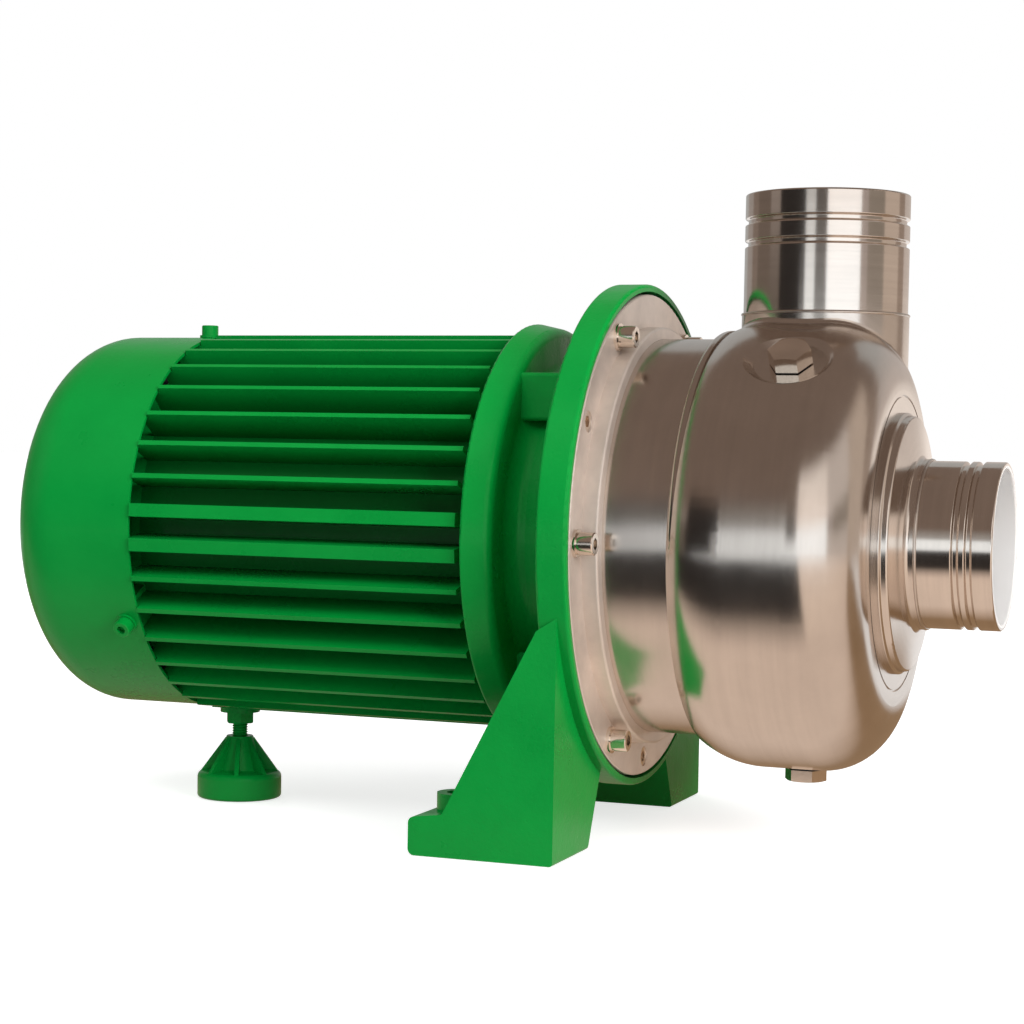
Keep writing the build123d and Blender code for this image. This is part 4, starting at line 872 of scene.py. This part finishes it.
class PUMP_OT_stage(bpy.types.Operator):
    """Sets the floor, the lamps and the camera"""

    bl_idname = "pump.stage"
    bl_label = "Stage"

    def execute(self, context):
        studio = context.scene.pump_studio
        self.floor(studio)
        self.world(studio)
        self.surround()
        self.lamps()
        self.camera(studio)
        context.scene.view_settings.view_transform = "Standard"
        return {"FINISHED"}

    def floor(self, studio):
        """Pale floor that goes white to the eye away from the pump."""
        clear_selection()
        bpy.ops.mesh.primitive_plane_add(size=FLOOR_SIZE, location=(0, 0, FLOOR_HEIGHT + FLOOR_LIFT))
        ground = bpy.context.active_object
        ground.name = "floor"
        material, tree, shader, place = start_material(
            "pale_floor", 0.0, 0.9, [studio.floor_tone] * 3,
            specular_ior_level=0.1, emission_color=(1, 1, 1, 1))
        distance = vector_node(tree, "LENGTH", place).outputs["Value"]
        fade = add(tree, "ShaderNodeMapRange", value=distance,
                   from_min=0.5, from_max=2.5, to_min=0.70, to_max=0.92)
        glow = math_node(tree, "MULTIPLY", seen_directly(tree), fade.outputs[0])
        tree.links.new(glow, shader.inputs["Emission Strength"])
        ground.data.materials.append(material)

    def world(self, studio):
        """White to the eye, but no brighter than the fill as a light."""
        world = bpy.data.worlds.new("studio_world")
        bpy.context.scene.world = world
        world.use_nodes = True
        tree = world.node_tree
        backdrop = tree.nodes["Background"].inputs
        backdrop["Color"].default_value = (1, 1, 1, 1)
        level = math_node(tree, "MULTIPLY", seen_directly(tree), 1.0 - studio.fill)
        tree.links.new(math_node(tree, "ADD", level, studio.fill), backdrop["Strength"])

    def surround(self):
        """Walls, ceiling and table that only show as reflections in the metal."""
        self.walls()
        discs = (
            ("ceiling", CEILING, ROOM_HEIGHT),
            ("table", TABLE, FLOOR_HEIGHT + TABLE_LIFT),
        )
        for name, tones, height in discs:
            clear_selection()
            bpy.ops.mesh.primitive_circle_add(
                vertices=96, radius=ROOM_RADIUS, fill_type="NGON", location=(0, 0, height))
            self.reflected_card(name, [card_material(name + "_card", tones, "Y")])
        clear_selection()
        bpy.ops.mesh.primitive_plane_add(
            size=CORNER_SIZE, location=CORNER_PLACE, rotation=(0, 0, CORNER_TURN))
        self.reflected_card("table_corner", [card_material("corner_card", CORNER, "Y")])

    def walls(self):
        """Round wall with its origin on the floor and one card for each azimuth."""
        clear_selection()
        bpy.ops.mesh.primitive_cylinder_add(
            vertices=180, radius=ROOM_RADIUS, depth=ROOM_HEIGHT, end_fill_type="NOTHING",
            location=(0, 0, ROOM_HEIGHT / 2))
        bpy.ops.object.transform_apply(location=True, rotation=True, scale=True)
        cards = [card_material("wall_card", tones, "Z") for start, tones in WALLS]
        wall = self.reflected_card("walls", cards)
        starts = [start for start, tones in WALLS]
        for face in wall.data.polygons:
            azimuth = math.degrees(math.atan2(face.center.x, -face.center.y))
            azimuth = azimuth if azimuth >= starts[0] else azimuth + 360
            face.material_index = sum(start <= azimuth for start in starts) - 1

    def reflected_card(self, name, materials):
        """Hides the piece just made from all but mirror rays, and stages it."""
        card = bpy.context.active_object
        card.name = name
        for material in materials:
            card.data.materials.append(material)
        card.visible_camera = False
        card.visible_diffuse = False
        card.visible_shadow = False
        card.visible_transmission = False
        return card

    def lamps(self):
        """Large soft lamps round the pump."""
        for name, (place, size, power) in LAMPS.items():
            clear_selection()
            bpy.ops.object.light_add(type="AREA", location=place)
            lamp = bpy.context.active_object
            lamp.name = name
            lamp.data.shape = "RECTANGLE"
            lamp.data.size, lamp.data.size_y = size
            lamp.data.energy = power
            lamp.visible_glossy = False
            lamp.rotation_euler = (LAMP_AIM - Vector(place)).to_track_quat("-Z", "Y").to_euler()

    def camera(self, studio):
        """Camera as it stood for the photograph."""
        turn, tilt, roll = studio.azimuth, studio.pitch, studio.roll
        forward = Vector((-math.sin(turn) * math.cos(tilt), math.cos(turn) * math.cos(tilt), -math.sin(tilt)))
        level = Vector((math.cos(turn), math.sin(turn), 0))
        above = level.cross(forward)
        right = level * math.cos(roll) + above * math.sin(roll)
        up = right.cross(forward)
        clear_selection()
        bpy.ops.object.camera_add(location=studio.place)
        camera = bpy.context.active_object
        camera.name = "camera"
        camera.rotation_euler = Matrix((right, up, -forward)).transposed().to_euler()
        camera.data.sensor_width = SENSOR_WIDTH
        camera.data.lens = studio.lens
        camera.data.shift_y = studio.shift
        camera.data.clip_end = VIEW_DEPTH
        bpy.context.scene.camera = camera


class PUMP_PT_panel(bpy.types.Panel):
    bl_idname = "PUMP_PT_panel"
    bl_label = "Pump"
    bl_space_type = "VIEW_3D"
    bl_region_type = "UI"
    bl_category = "Pump"

    def draw(self, context):
        for step in STEPS:
            self.layout.operator(step.bl_idname)
        for group in SETTINGS:
            settings = getattr(context.scene, group)
            for name in settings.bl_rna.properties.keys():
                if name not in ("rna_type", "name"):
                    self.layout.prop(settings, name)


SETTINGS = {
    "pump_paint": PumpPaint,
    "pump_steel": PumpSteel,
    "pump_thread": PumpThread,
    "pump_studio": PumpStudio,
}
STEPS = (
    PUMP_OT_paint, PUMP_OT_steel, PUMP_OT_fittings, PUMP_OT_inner,
    PUMP_OT_welds, PUMP_OT_stud, PUMP_OT_stage)
CLASSES = (*SETTINGS.values(), *STEPS, PUMP_PT_panel)


def register():
    for cls in CLASSES:
        bpy.utils.register_class(cls)
    for name, group in SETTINGS.items():
        setattr(bpy.types.Scene, name, PointerProperty(type=group))


def unregister():
    for name in SETTINGS:
        delattr(bpy.types.Scene, name)
    for cls in reversed(CLASSES):
        bpy.utils.unregister_class(cls)


def main():
    register()
    for step in STEPS:
        group, name = step.bl_idname.split(".")
        getattr(getattr(bpy.ops, group), name)()


if __name__ == "__main__":
    main()
